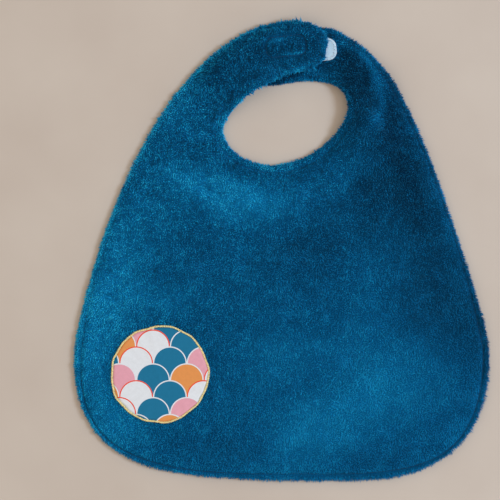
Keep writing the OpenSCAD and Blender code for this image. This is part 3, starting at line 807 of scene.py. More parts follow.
def tuft_tone(ins, position, standing, by_tape):
    """How light each tuft is, from 0 to 1: its painted light and shade from the patches, edges and seams,
    with its clump, the knit's rows and a random speckle.
    """
    tree = position.tree
    astray = uneven_way(position, attribute(tree, "wander"), **PATCH_EDGES)
    shade = put(tree, "GeometryNodeSampleNearestSurface", {
        "Mesh": ins["Geometry"], "Value": attribute(tree, "shade"), "Sample Position": position + astray,
    }, data_type="FLOAT")[0]

    def rows(*stretch):
        """Long fine streaks, as the rows of a knit show."""
        return uneven(position * stretch, KNIT_TONE, **KNIT)

    knit = rows(KNIT_FINE, KNIT_LONG, KNIT_LONG) + rows(KNIT_LONG, KNIT_FINE, KNIT_LONG)
    clump = uneven(position, CLUMP_TONE, **CLUMPS)
    mixed = random_between(tree, -SPECKLE, SPECKLE, seed=3) + (clump + knit)
    seam_groove_shade = (standing - 1) * SEAM_SHADE + (by_tape - 1) * TAPE_SEAM_SHADE
    even = shade + (seam_groove_shade + attribute(tree, "lit"))
    return mapped(mixed * attribute(tree, "grain") + even, -TONE_ROOM, 1 + TONE_ROOM)


def tuft(ins, position):
    """One tuft of unit height: a spike with a belly, bowed to one side, whose points know their height."""
    spike = put(position.tree, "GeometryNodeMeshCone", {
        "Vertices": TUFT_SIDES, "Side Segments": TUFT_STEPS,
        "Radius Top": 0, "Radius Bottom": 1, "Depth": 1,
    }, fill_type="NONE")["Mesh"]
    _, _, height = axes_of(position)
    belly = position * (1, 1, 0) * (height * (1 - height) * TUFT_BELLY)
    bow = belly + xyz(X=height * height * ins["Bend"])
    return moved(stored(spike, "tip", height), Offset=bow)


def pile_tree():
    """Tufts of pile all over a base cloth, short along the stitching and none under tape and badge."""
    tree, ins, end = geometry_tree("pile", {
        "Spacing": "Float", "Height": "Float", "Radius": "Float", "Lean": "Float", "Bend": "Float",
        "From": "Float", "To": "Float", "Floor": "Float", "Shag": "Float", "Seed": "Int",
        "Badge centre": "Vector", "Badge radius": "Float",
        "Tape centre": "Vector", "Tape half": "Vector", "Tape corner": "Float", "Tape turn": "Float",
        "Tape bare": "Float", "Tape seam": "Float", "Material": "Material",
    })
    spread = scattered(ins)
    points, up = captured(spread["Points"], "Up", spread["Normal"])
    position = put(tree, "GeometryNodeInputPosition")[0]
    along, inset, pull = (attribute(tree, name) for name in ("along", "inset", "pull"))
    off_badge = length_of((position - ins["Badge centre"]) * (1, 1, 0)) - ins["Badge radius"]
    off_tape = tape_field(position, ins)

    gone = most(along < ins["From"], 1 - (along < ins["To"]))
    gone = most(gone, off_badge < 0)
    gone = most(gone, ins["Tape bare"] * (off_tape < -TAPE_COVER * MM))
    kept = put(tree, "GeometryNodeDeleteGeometry", {
        "Geometry": points, "Selection": gone,
    }, domain="POINT")[0]

    standing, by_tape = pile_stands(ins, inset, off_tape, pull)
    size = xyz(X=ins["Radius"], Y=ins["Radius"], Z=tuft_height(ins, position, inset, off_tape, standing))
    toned = stored(kept, "tone", tuft_tone(ins, position, standing, by_tape))
    grown = set_out(toned, tuft(ins, position), tuft_turn(ins, position, up), size)
    x, y, z = axes_of(position)
    pressed = moved(realized(grown), Position=xyz(X=x, Y=y, Z=most(z, ins["Floor"])))
    return close_tree(pressed, ins["Material"], end)


# Stitches: how far each strays for its wander, how far it turns for that, in radians a metre,
# how its length varies, and the bead of thread that it is.
STITCH_STRAY, STITCH_ASKEW = (1, 1, 0.4), 120.0
STITCH_LENGTHS = (0.86, 1.1)
BEAD = {"Segments": 6, "Rings": 4, "Radius": 0.5}


def sewing_tree():
    """Stitches along a line, each a short rounded length of thread, along it or across it."""
    tree, ins, end = geometry_tree("sewing", {
        "Pitch": "Float", "Length": "Float", "Width": "Float", "Height": "Float", "Turn": "Float",
        "Wander": "Float", "Seed": "Int", "Material": "Material",
    })
    line = put(tree, "GeometryNodeMeshToCurve", {"Mesh": ins["Geometry"]})[0]
    spots = put(tree, "GeometryNodeCurveToPoints", {"Curve": line, "Length": ins["Pitch"]}, mode="LENGTH")
    points, way = captured(spots["Points"], "Way", spots["Tangent"])
    stray = random_way(tree, STITCH_STRAY, ins["Seed"]) * ins["Wander"]
    askew = random_between(tree, -STITCH_ASKEW, STITCH_ASKEW, ins["Seed"]) * ins["Wander"]
    lie = turned(aimed(way, "X"), ins["Turn"] + askew)
    bead = put(tree, "GeometryNodeMeshUVSphere", BEAD)["Mesh"]
    length = ins["Length"] * random_between(tree, *STITCH_LENGTHS, seed=9)
    size = xyz(X=length, Y=ins["Width"], Z=ins["Height"])
    return close_tree(set_out(moved(points, Offset=stray), bead, lie, size), ins["Material"], end)


# Loops and hooks: how squarely a face has to look out to carry them, and each one's steps, sides and size.
FACES_OUT = 0.9
ARC_STEPS, ARC_SIDES, ARC_SIZES = 6, 3, (0.8, 1.15)


def tape_nap_tree():
    """Small arcs of thread all over one face of a tape: closed low loops, or open hooks."""
    tree, ins, end = geometry_tree("tape_nap", {
        "Spacing": "Float", "Radius": "Float", "Thread": "Float", "Sweep": "Float", "Facing": "Float",
        "Twist": "Float", "Seed": "Int", "Material": "Material",
    })
    _, _, facing = axes_of(put(tree, "GeometryNodeInputNormal")[0])
    points = scattered(ins, Selection=facing * ins["Facing"] > FACES_OUT)["Points"]
    arc = put(tree, "GeometryNodeCurveArc", {
        "Resolution": ARC_STEPS, "Radius": 1, "Start Angle": 0, "Sweep Angle": ins["Sweep"],
    }, mode="RADIUS")["Curve"]
    arc = put(tree, "GeometryNodeTransform", {"Geometry": arc, "Rotation": (math.pi / 2, 0, 0)})[0]
    section = put(tree, "GeometryNodeCurvePrimitiveCircle", {
        "Resolution": ARC_SIDES, "Radius": ins["Thread"],
    }, mode="RADIUS")["Curve"]
    bent = put(tree, "GeometryNodeCurveToMesh", {
        "Curve": arc, "Profile Curve": section, "Fill Caps": True,
    })[0]
    twist = random_between(tree, -1, 1, ins["Seed"]) * ins["Twist"]
    stand = turned(aimed(xyz(Z=ins["Facing"]), "Z"), twist)
    size = ins["Radius"] * random_between(tree, *ARC_SIZES, seed=2)
    return close_tree(set_out(points, bent, stand, xyz(X=size, Y=size, Z=size)), ins["Material"], end)


def new_piece(name, mesh):
    piece = bpy.data.objects.new(name, mesh)
    bpy.context.scene.collection.objects.link(piece)
    return piece


def grow(name, tree, mesh, **values):
    """A plain mesh piece made by a Geometry Nodes tree from a mesh."""
    piece = new_piece(name, mesh)
    modifier = piece.modifiers.new(tree.name, "NODES")
    modifier.node_group = tree
    for item in tree.interface.items_tree:
        label = item.name.replace(" ", "_").lower()
        if item.in_out == "INPUT" and label in values:
            modifier[item.identifier] = values[label]
    graph = bpy.context.evaluated_depsgraph_get()
    whole = piece.evaluated_get(graph)
    made = bpy.data.meshes.new_from_object(whole, preserve_all_data_layers=True, depsgraph=graph)
    piece.modifiers.clear()
    piece.data = made
    made.name = name
    return piece


def nap_ways(side, first, last):
    """Which way the pile leans at each point of a layer between two stations."""
    part = slice(first, last + 1)
    plan, inset = PLAN[part], INSET[part]
    nap = np.zeros(inset.shape + (3,), np.float32)
    nap[..., :2] = NAP
    if side == FRONT and last == LAST_STATION:
        by_tape = bell(tape_distance(plan, *LOOP), TAPE_HUG)
        nap[..., :2] += by_tape[..., None] * (unit(np.array(LOOP_AT) - plan) - NAP)
    if side == FRONT and first == AT_TIP:
        at_tip = bell(inset, TIP_REACH) * (1 - smooth(STATIONS[part] / TIP_STATIONS))[:, None]
        nap[..., :2] += at_tip[..., None] * (TIP_NAP * unit(plan - np.array(HOOK_AT)) - NAP)
    return nap


def cleaned(mesh):
    """A mesh with its doubles merged, and without slivers and loose points."""
    shell = bmesh.new()
    shell.from_mesh(mesh)
    bmesh.ops.remove_doubles(shell, verts=shell.verts, dist=MERGE_WITHIN)
    bmesh.ops.dissolve_degenerate(shell, edges=shell.edges, dist=SLIVER)
    bmesh.ops.delete(shell, geom=[v for v in shell.verts if not v.link_faces], context="VERTS")
    shell.to_mesh(mesh)
    shell.free()
    return mesh


def layer_mesh(name, side, first, last, strips=WHOLE):
    """The base cloth of one layer between two stations, with what its pile needs to know at each point."""
    part = slice(first, last + 1)
    plan, inset, pull = PLAN[part], INSET[part], PULL[part]
    z = MID_Z + LIFT[part] + side * base_half(inset, pull)
    if side == FRONT and last <= AT_FOLD_1:
        z = z - TAPE_SEAM_DIP * bell(tape_distance(plan, *HOOK) + TAPE_SEAM_INSET, TAPE_SEAM_SPREAD)
    points = np.concatenate([plan, z[..., None]], -1) * MM
    stations, rows = inset.shape
    index = np.arange(stations * rows).reshape(stations, rows)
    quads = []
    for strip in strips:
        at = index[:, strip]
        quads.append(np.stack([at[:-1, :-1], at[1:, :-1], at[1:, 1:], at[:-1, 1:]], -1).reshape(-1, 4))
    quads = np.concatenate(quads)[:, ::side]
    mesh = bpy.data.meshes.new(name)
    mesh.from_pydata(points.reshape(-1, 3).tolist(), [], quads.tolist())
    values = dict(
        along=np.repeat(STATIONS[part], rows), inset=inset * MM, shade=SHADE[part], pull=pull,
        fringe=FRINGE[part], lit=LIT[part], grain=GRAIN[part], wander=np.repeat(WANDER[part], rows),
    )
    for label, numbers in values.items():
        numbers = numbers.ravel().astype(np.float32)
        mesh.attributes.new(label, "FLOAT", "POINT").data.foreach_set("value", numbers)
    ways = nap_ways(side, first, last).ravel()
    mesh.attributes.new("nap", "FLOAT_VECTOR", "POINT").data.foreach_set("vector", ways)
    mesh = cleaned(mesh)
    mesh.polygons.foreach_set("use_smooth", [True] * len(mesh.polygons))
    return mesh


def material(name):
    made = bpy.data.materials.new(name)
    made.use_nodes = True
    return made, made.node_tree, made.node_tree.nodes["Principled BSDF"]


def dress(shader, colour, constants):
    """Links a colour to a shader, and sets the sockets that are the same all over."""
    colour.tree.links.new(colour.socket, shader.inputs["Base Color"])
    for socket, value in constants.items():
        shader.inputs[socket].default_value = value


def bump(shader, height, strength, distance):
    sockets = {"Height": height, "Strength": strength, "Distance": distance}
    height.tree.links.new(put(height.tree, "ShaderNodeBump", sockets)[0].socket, shader.inputs["Normal"])


def object_place(tree):
    return put(tree, "ShaderNodeTexCoord")["Object"]


def shader_value(tree, name):
    return put(tree, "ShaderNodeAttribute", attribute_name=name)["Fac"]


def blended(share, a, b, **settings):
    return put(share.tree, "ShaderNodeMix", {"Factor": share, 6: a, 7: b}, data_type="RGBA", **settings)[2]


def srgb(r, g, b):
    """A colour as written on a screen, from 0 to 255, as the shader takes it."""
    part = [c / 255 for c in (r, g, b)]
    return tuple(c / 12.92 if c <= 0.04045 else ((c + 0.055) / 1.055) ** 2.4 for c in part) + (1.0,)


def ramp(value, *stops, hard=False):
    ramped = put(value.tree, "ShaderNodeValToRGB", {"Fac": value})
    colours = ramped.node.color_ramp
    colours.interpolation = "CONSTANT" if hard else "LINEAR"
    while len(colours.elements) < len(stops):
        colours.elements.new(0.5)
    for point, (at, colour) in zip(colours.elements, stops):
        point.position, point.color = at, colour
    return ramped["Color"]


# The pile's colours from the darkest tone to the lightest, at its tips and at its roots, which are darker
# as painted shade deep in the pile.
TIP_COLOURS = [srgb(*c) for c in ((2, 55, 88), (4, 83, 125), (8, 132, 191), (30, 179, 226), (52, 204, 242))]
ROOT_COLOURS = [srgb(*c) for c in ((1, 35, 61), (3, 58, 92), (5, 107, 157), (16, 156, 206), (32, 184, 226))]
BASE_COLOURS = [srgb(*c) for c in ((0, 48, 80), (2, 86, 130), (10, 132, 184))]

# The badge's print: the scallops' colours in turn, and the colours of their rims.
PRINT_ORDER = ("teal", "white", "orange", "teal", "white", "pink", "teal")
WHITE = srgb(228, 229, 233)
PRINT_COLOURS = dict(
    teal=srgb(28, 115, 152), white=WHITE, orange=srgb(230, 149, 83), pink=srgb(231, 163, 177))
RIM_COLOURS = dict(teal=WHITE, white=srgb(238, 84, 56), orange=WHITE, pink=WHITE)
# How much the weave and the wear change the light on the print, and its darkest light.
WEAVE_LIGHT, WEAR_LIGHT, LEAST_LIGHT = 0.16, 0.14, 0.83

# Thread pitch of the woven pieces, and depth of their relief and of the thread's plies, in metres.
TAPE_PITCH, BADGE_PITCH = 0.0007, 0.00055
WEAVE_RELIEF, PLY_RELIEF = 0.0002, 0.0001
# From where to where, between 0 and 1, a mottle or a ply goes from its dark colour to its light one.
MOTTLE_TURNS, PLY_TURNS = (0.3, 0.7), (0.1, 0.9)


def pile_material():
    made, tree, shader = material("teal_pile")
    tone, tip = shader_value(tree, "tone"), shader_value(tree, "tip")
    ends = TONE_ROOM / (1 + 2 * TONE_ROOM)
    places = (0.0, ends, 0.5, 1 - ends, 1.0)
    colour = blended(tip, ramp(tone, *zip(places, ROOT_COLOURS)), ramp(tone, *zip(places, TIP_COLOURS)))
    dress(shader, colour, {
        "Roughness": 0.95, "Specular IOR Level": 0.05,
        "Sheen Weight": 0.3, "Sheen Roughness": 0.5, "Sheen Tint": srgb(90, 190, 230),
    })
    return made


def base_material():
    made, tree, shader = material("teal_base_cloth")
    grain = uneven(object_place(tree), strength=0.5, scale=700.0, detail=2.0)
    # The base cloth takes the same painted light and shade as the pile, with a grain of its own.
    colour = ramp(shader_value(tree, "shade") + grain, *zip((0.0, 0.5, 1.0), BASE_COLOURS))
    dress(shader, colour, {"Roughness": 1.0, "Specular IOR Level": 0.1})
    return made


def mottled_material(name, scale, detail, dark, light, constants):
    """A plain material, unevenly of two colours that are much alike."""
    made, tree, shader = material(name)
    mottle = noise(object_place(tree), scale, detail)["Fac"]
    dress(shader, ramp(mottle, *zip(MOTTLE_TURNS, (dark, light))), constants)
    return made


def height_group(name, **inputs):
    """A shader node group with named inputs, which puts out how high threads stand.

    Returns it with its input sockets and its output node.
    """
    group = bpy.data.node_groups.new(name, "ShaderNodeTree")
    for label, kind in inputs.items():
        group.interface.new_socket(label, in_out="INPUT", socket_type="NodeSocket" + kind)
    group.interface.new_socket("Height", in_out="OUTPUT", socket_type="NodeSocketFloat")
    return group, put(group, "NodeGroupInput"), group.nodes.new("NodeGroupOutput")


def weave_group():
    """A plain weave, from a place, the thread pitch and a turn."""
    group, ins, out = height_group("plain_weave", Place="Vector", Pitch="Float", Turn="Float")
    x, y, _ = axes_of(spun(ins["Place"], ins["Turn"]))
    turn = math.pi / ins["Pitch"]
    both = reckoned("SINE", x * turn) * reckoned("SINE", y * turn)
    group.links.new(reckoned("MULTIPLY_ADD", both, 0.5, 0.5).socket, out.inputs[0])
    return group


def ply_group():
    """The plies of sewing thread, which show as fine slanting stripes, from a place."""
    group, ins, out = height_group("thread_plies", Place="Vector")
    plies = put(group, "ShaderNodeTexWave", {
        "Vector": ins["Place"], "Scale": 700.0, "Distortion": 1.5, "Detail": 1.0,
    }, bands_direction="DIAGONAL")["Fac"]
    group.links.new(plies.socket, out.inputs[0])
    return group


def threads_at(group, place, **sockets):
    """How high the threads of a group stand at a place."""
    return put(place.tree, "ShaderNodeGroup", {"Place": place, **sockets}, node_tree=group)["Height"]


def thread_material(name, dark, light, roughness):
    made, tree, shader = material(name)
    plies = threads_at(PLIES, object_place(tree))
    colour = ramp(plies, *zip(PLY_TURNS, (dark, light)))
    dress(shader, colour, {"Roughness": roughness, "Specular IOR Level": 0.3})
    bump(shader, plies, strength=0.5, distance=PLY_RELIEF)
    return made


def tape_material():
    made, tree, shader = material("white_tape")
    weave = threads_at(WEAVE, object_place(tree), Pitch=TAPE_PITCH, Turn=-math.radians(TAPE_TURN))
    colour = ramp(weave, (0.0, srgb(192, 218, 236)), (1.0, srgb(220, 242, 252)))
    dress(shader, colour, {"Roughness": 0.8})
    bump(shader, weave, strength=0.6, distance=WEAVE_RELIEF)
    return made


def badge_material():
    """Cotton in a plain weave, printed with rows of scallops in five colours."""
    made, tree, shader = material("printed_cotton")
    place = object_place(tree)
    start = [shift - at / SCALLOP_R for at, shift in zip(BADGE_AT, SCALLOP_SHIFT)]
    x, y, _ = axes_of(put(tree, "ShaderNodeMapping", {
        "Vector": place, "Location": (*start, 0), "Scale": (1 / (SCALLOP_R * MM),) * 3,
    })[0])
    row = reckoned("FLOOR", y)
    up = y - row
    count = len(PRINT_ORDER)

    def scallop(row):
        """Which colour a row's scallop has that a place may lie in, and how far across it the place is."""
        shift = reckoned("FLOORED_MODULO", row, 2)
        from_first = x - shift
        middle = reckoned("ROUND", from_first * 0.5) * 2
        return reckoned("FLOORED_MODULO", middle + shift + row * 2, count), from_first - middle

    def printed(picked, colours):
        stops = [(k / count, colours[label]) for k, label in enumerate(PRINT_ORDER)]
        return ramp((picked + 0.5) / count, *stops, hard=True)

    near, across = scallop(row)
    far, _ = scallop(row + 1)
    reach = reckoned("SQRT", across * across + up * up)
    inside = reach < 1
    picked = far + (near - far) * inside
    on_rim = inside * (reach > 1 - SCALLOP_RIM)
    colour = blended(on_rim, printed(picked, PRINT_COLOURS), printed(picked, RIM_COLOURS))
    weave = threads_at(WEAVE, place, Pitch=BADGE_PITCH)
    wear = noise(place, scale=350.0, detail=3.0)["Fac"]
    worn = reckoned("MULTIPLY_ADD", wear, WEAR_LIGHT, LEAST_LIGHT)
    light = reckoned("MULTIPLY_ADD", weave, WEAVE_LIGHT, worn)
    colour = put(tree, "ShaderNodeMix", {
        "Factor": 1.0, 6: colour, 7: light,
    }, data_type="RGBA", blend_type="MULTIPLY")[2]
    dress(shader, colour, {"Roughness": 0.85, "Specular IOR Level": 0.2})
    bump(shader, weave, strength=0.5, distance=WEAVE_RELIEF)
    return made


# The stage, in metres, but for the camera's sensor, which is in millimetres. The camera looks straight
# down, and its view is so wide at the cloth's height.
CAMERA_AT = (-0.0248, 0.0004, 1.6)
VIEW_WIDTH, VIEW_Z = 0.4, 0.006
SENSOR_WIDTH = 36
FLOOR_REACH = 4.0
ROOM_COLOUR, ROOM_STRENGTH = (1.0, 0.915, 0.8, 1), 0.735
WINDOW_AT, WINDOW_SIZE = (2.1, 0.07, 1.77), 0.9
WINDOW_POWER, WINDOW_COLOUR = 48, (0.553, 0.758, 1.0)


def set_stage():
    scene = bpy.context.scene
    scene.view_settings.view_transform = "Standard"
    camera = bpy.data.objects.new("camera", bpy.data.cameras.new("camera"))
    scene.collection.objects.link(camera)
    camera.location = CAMERA_AT
    camera.data.sensor_width = SENSOR_WIDTH
    camera.data.lens = SENSOR_WIDTH * (CAMERA_AT[2] - VIEW_Z) / VIEW_WIDTH
    scene.camera = camera

    mesh = bpy.data.meshes.new("floor")
    corners = [(x * FLOOR_REACH, y * FLOOR_REACH, 0) for x, y in ((-1, -1), (1, -1), (1, 1), (-1, 1))]
    mesh.from_pydata(corners, [], [(0, 1, 2, 3)])
    floor = new_piece("floor", mesh)
    floor.data.materials.append(mottled_material(
        "pale_floor", scale=12.0, detail=3.0, dark=srgb(196, 180, 167), light=srgb(202, 187, 174),
        constants={"Roughness": 0.85}))

    world = bpy.data.worlds.new("soft_room")
    world.use_nodes = True
    room = world.node_tree.nodes["Background"].inputs
    room["Color"].default_value = ROOM_COLOUR
    room["Strength"].default_value = ROOM_STRENGTH
    scene.world = world
    lamp = bpy.data.lights.new("window", "AREA")
    lamp.shape = "DISK"
    lamp.size, lamp.energy, lamp.color = WINDOW_SIZE, WINDOW_POWER, WINDOW_COLOUR
    window = bpy.data.objects.new("window", lamp)
    window.location = WINDOW_AT
    window.rotation_mode = "QUATERNION"
    window.rotation_quaternion = (-window.location).to_track_quat("-Z", "Y")
    scene.collection.objects.link(window)


# Margins of the maps that the colours are baked to, and the step that keeps a tuft's faces open there.
CLOTH_MARGIN = 0.01
TONE_MARGIN, TIP_MARGIN, TUFT_STEP = 0.03, 0.02, 0.004


def corner_points(mesh):
    """The point of each face corner of a mesh."""
    corner = np.zeros(len(mesh.loops), np.int32)
    mesh.loops.foreach_get("vertex_index", corner)
    return corner


def point_values(mesh, name):
    numbers = np.zeros(len(mesh.vertices), np.float32)
    mesh.attributes[name].data.foreach_get("value", numbers)
    return numbers


def set_bake_map(mesh, uv):
    mesh.uv_layers.new(name="OFBake").data.foreach_set("uv", uv.astype(np.float32).ravel())


def cloth_piece(name, side, first, last):
    """The base cloth of one layer between two stations."""
    piece = new_piece(name, layer_mesh(name, side, first, last))
    mesh = piece.data
    mesh.materials.append(teal_base)
    spot = np.zeros(len(mesh.vertices) * 3, np.float32)
    mesh.vertices.foreach_get("co", spot)
    plan = spot.reshape(-1, 3)[corner_points(mesh), :2]
    share = (plan - plan.min(0)) / (plan.max(0) - plan.min(0)).max()
    set_bake_map(mesh, share * (1 - 2 * CLOTH_MARGIN) + CLOTH_MARGIN)
    return piece


# The pile of the field, with no badge or tape near it. Then what is different at the edge and on the back.
FAR_OFF = (0, 9, 0)
FIELD_PILE = dict(
    strips=FIELD, spacing=0.85 * MM, height=2.3 * MM, radius=0.46 * MM, lean=0.9, bend=0.7,
    floor=0.05 * MM, shag=0.0, seed=4, badge_centre=FAR_OFF, badge_radius=0.0,
    tape_centre=FAR_OFF, tape_half=(0.01, 0.01, 0), tape_corner=0.001, tape_turn=math.radians(TAPE_TURN),
    tape_bare=0.0, tape_seam=0.0,
)
EDGE_PILE = dict(
    strips=RIM, spacing=0.55 * MM, height=1.7 * MM, radius=0.34 * MM, lean=0.6, bend=0.5, shag=2.6)
TIP_PILE = {**EDGE_PILE, "shag": 7.0}
BACK_PILE = dict(spacing=1.5 * MM, radius=0.75 * MM)


def pile_piece(name, side, first, last, **more):
    """The tufts of one layer between two stations."""
    values = {**FIELD_PILE, "from": float(first), "to": float(last), "material": teal_pile, **more}
    base = layer_mesh(name, side, max(first - 1, 0), min(last + 1, LAST_STATION), values.pop("strips"))
    piece = grow(name, PILE, base, **values)
    mesh = piece.data
    corner = corner_points(mesh)
    tone, tip = point_values(mesh, "tone")[corner], point_values(mesh, "tip")[corner]
    across = TONE_MARGIN + (1 - 2 * TONE_MARGIN) * tone + TUFT_STEP * (np.arange(len(corner)) % 4)
    set_bake_map(mesh, np.stack([across, TIP_MARGIN + (1 - 2 * TIP_MARGIN) * tip], -1))
    return piece


def line_mesh(name, *runs):
    """Open or closed runs of points as edges. A run whose first point comes again at its end is closed."""
    points, edges = [], []
    for run in runs:
        closed = np.allclose(run[0], run[-1])
        first, count = len(points), len(run) - closed
        points += [tuple(p * MM) for p in run[:count]]
        edges += [(first + k, first + (k + 1) % count) for k in range(count - 1 + closed)]
    mesh = bpy.data.meshes.new(name)
    mesh.from_pydata(points, edges, [])
    return mesh


def seam_runs(side, first, last):
    """The line of the edge stitching on one layer between two stations, round a tip where there is one."""
    part = slice(first, last + 1)
    runs = []
    for inner in (False, True):
        plan = row_at(STITCH_INSET, inner)[part]
        rise = lies_at(plan[:, None], STATIONS[part], STITCH_INSET, not inner)[:, 0]
        pull = PULL[part, -1 if inner else 0]
        z = MID_Z + rise + side * (base_half(np.full(len(plan), STITCH_INSET), pull) + SEAM_SEAT)
        runs.append(np.concatenate([plan, z[:, None]], -1))
    outer, inner = runs
    if first == AT_TIP:
        return [np.concatenate([inner[::-1], outer[1:]])]
    if last == LAST_STATION:
        return [np.concatenate([outer, inner[-2::-1]])]
    return runs


def tape_outline(centre, half, corner, inset, z):
    """Points round a tape's rounded outline, the first one repeated at the end."""
    angle = np.linspace(0, math.pi / 2, CORNER_STEPS)
    arc = np.stack([np.cos(angle), np.sin(angle)], -1) * max(corner - inset, LEAST_CORNER)
    points = []
    for k, sign in enumerate(((1, 1), (-1, 1), (-1, -1), (1, -1))):
        c, s = math.cos(k * math.pi / 2), math.sin(k * math.pi / 2)
        middle = np.array([sign[0] * (half[0] - corner), sign[1] * (half[1] - corner)])
        points.append(middle + arc @ np.array([[c, s], [-s, c]]))
    points = np.concatenate(points + [points[0][:1]])
    c, s = math.cos(math.radians(TAPE_TURN)), math.sin(math.radians(TAPE_TURN))
    plan = points @ np.array([[c, s], [-s, c]]) + np.array(centre)
    return np.concatenate([plan, np.full((len(plan), 1), z)], -1)


def tape_piece(name, tape, low, high):
    """A woven tape: a thin rounded plate with softened edges."""
    levels = ((TAPE_SOFT, low), (0, low + TAPE_SOFT), (0, high - TAPE_SOFT), (TAPE_SOFT, high))
    rings = [tape_outline(*tape, inset, z)[:-1] for inset, z in levels]
    count = len(rings[0])
    top = (len(rings) - 1) * count
    faces = [tuple(range(count))[::-1], tuple(range(top, top + count))]
    for ring in range(0, top, count):
        for k in range(count):
            m = (k + 1) % count
            faces.append((ring + k, ring + m, ring + count + m, ring + count + k))
    mesh = bpy.data.meshes.new(name)
    mesh.from_pydata((np.concatenate(rings) * MM).tolist(), [], faces)
    piece = new_piece(name, mesh)
    mesh.materials.append(white_tape)
    return piece


def badge_wobble(angle):
    """How far the hand-guided border strays from its circle."""
    return sum(reach * np.sin(times * angle + start) for reach, times, start in WOBBLES)


def on_badge(radius, angle, z):
    """Points round the badge's middle, at a height or heights."""
    x, y = BADGE_AT[0] + radius * np.cos(angle), BADGE_AT[1] + radius * np.sin(angle)
    return np.stack([x, y, np.broadcast_to(z, angle.shape)], -1)


def badge_piece():
    """The badge's cloth: a disc that puckers a little towards its border."""
    angle = np.arange(BADGE_SEGMENTS) * 2 * math.pi / BADGE_SEGMENTS
    edge, top = BADGE_R + BADGE_TUCK + badge_wobble(angle), BADGE_Z + BADGE_T
    rows = [np.array([(BADGE_AT[0], BADGE_AT[1], top)])]
    for k in range(1, BADGE_RINGS + 1):
        f = k / BADGE_RINGS
        pucker = PUCKER_H * f**3 * np.sin(PUCKERS * angle + PUCKER_SHIFT * np.sin(PUCKER_SHIFTS * angle))
        swell = SWELL_H * np.sin(SWELLS * angle + SWELL_TURN * f)
        rows.append(on_badge(f * edge, angle, top + pucker + swell))
    rows.append(on_badge(edge, angle, BADGE_Z))
    faces = []
    for k in range(BADGE_SEGMENTS):
        m = (k + 1) % BADGE_SEGMENTS
        faces.append((0, 1 + k, 1 + m))
        for ring in range(BADGE_RINGS):
            a = 1 + ring * BADGE_SEGMENTS
            faces.append((a + k, a + BADGE_SEGMENTS + k, a + BADGE_SEGMENTS + m, a + m))
    last = 1 + BADGE_RINGS * BADGE_SEGMENTS
    faces.append(tuple(range(last, last + BADGE_SEGMENTS))[::-1])
    mesh = bpy.data.meshes.new("badge_cloth_printed")
    mesh.from_pydata((np.concatenate(rows) * MM).tolist(), [], faces)
    mesh.polygons.foreach_set("use_smooth", [len(f.vertices) < 5 for f in mesh.polygons])
    mesh.materials.append(printed_cotton)
    return new_piece("badge_cloth_printed", mesh)


def badge_ring(z):
    """The line of the badge's border, closed, at a height."""
    angle = np.linspace(0, 2 * math.pi, BORDER_STEPS + 1)
    return [on_badge(BADGE_R + BORDER_W / 2 + badge_wobble(angle), angle, z)]


def tape_place(at, half, corner):
    """Where a tape lies, as the pile takes it."""
    centre, size = (at[0] * MM, at[1] * MM, 0), (half[0] * MM, half[1] * MM, 0)
    return dict(tape_centre=centre, tape_half=size, tape_corner=corner * MM)


def stitches(name, runs, finish, **values):
    return grow(name, SEWING, line_mesh(name, *runs), material=finish, **values)


def edge_stitches(name, side, first, last):
    """The stitches of the edge on one layer between two stations."""
    return stitches(name, seam_runs(side, first, last), teal_thread, **RUNNING)


def tape_stitches(name, tape, z, finish):
    """The stitches round a tape, at a height."""
    return stitches(name, [tape_outline(*tape, TAPE_SEAM_INSET, z)], finish, **RUNNING)


BADGE_PLACE = dict(
    badge_centre=(BADGE_AT[0] * MM, BADGE_AT[1] * MM, 0),
    badge_radius=(BADGE_R + BORDER_W - BORDER_COVER) * MM,
)
RUNNING = dict(
    pitch=3.0 * MM, length=2.8 * MM, width=0.6 * MM, height=0.5 * MM, turn=0.0, wander=0.05 * MM, seed=1)
SATIN = dict(
    pitch=0.4 * MM, length=1.8 * MM, width=0.5 * MM, height=0.8 * MM, turn=math.pi / 2,
    wander=0.16 * MM, seed=6)
SATIN_BACK = {**SATIN, "pitch": 0.9 * MM}
LOOPS = dict(
    spacing=0.62 * MM, radius=0.42 * MM, thread=0.2, sweep=math.pi, facing=1.0, twist=math.pi, seed=3)
HOOKS = dict(
    spacing=0.95 * MM, radius=0.4 * MM, thread=0.22, sweep=math.radians(230), facing=-1.0,
    twist=0.25, seed=8)

# The stations at which the body's pile is parted into pieces.
CUT_1, CUT_2, CUT_3, CUT_4 = AT_LEFT + 14, AT_LEFT + 44, AT_HEM + 26, AT_RIGHT + 6
BODY_END = LAST_STATION + 1
STRAP_TOP = STRAP_RISE + MID_Z + BASE_HALF

set_stage()
PILE, SEWING, TAPE_NAP = pile_tree(), sewing_tree(), tape_nap_tree()
WEAVE, PLIES = weave_group(), ply_group()
teal_pile, teal_base = pile_material(), base_material()
teal_thread = thread_material(
    "teal_thread", dark=srgb(0, 44, 72), light=srgb(4, 74, 112), roughness=0.55)
white_thread = thread_material(
    "white_thread", dark=srgb(188, 194, 206), light=srgb(226, 230, 238), roughness=0.55)
yellow_thread = thread_material(
    "pale_yellow_thread", dark=srgb(242, 212, 128), light=srgb(255, 246, 192), roughness=0.5)
white_tape, printed_cotton = tape_material(), badge_material()
white_nylon = mottled_material(
    "white_nylon", scale=400.0, detail=2.0, dark=srgb(206, 230, 246), light=srgb(230, 248, 254),
    constants={"Roughness": 0.45, "Specular IOR Level": 0.4})

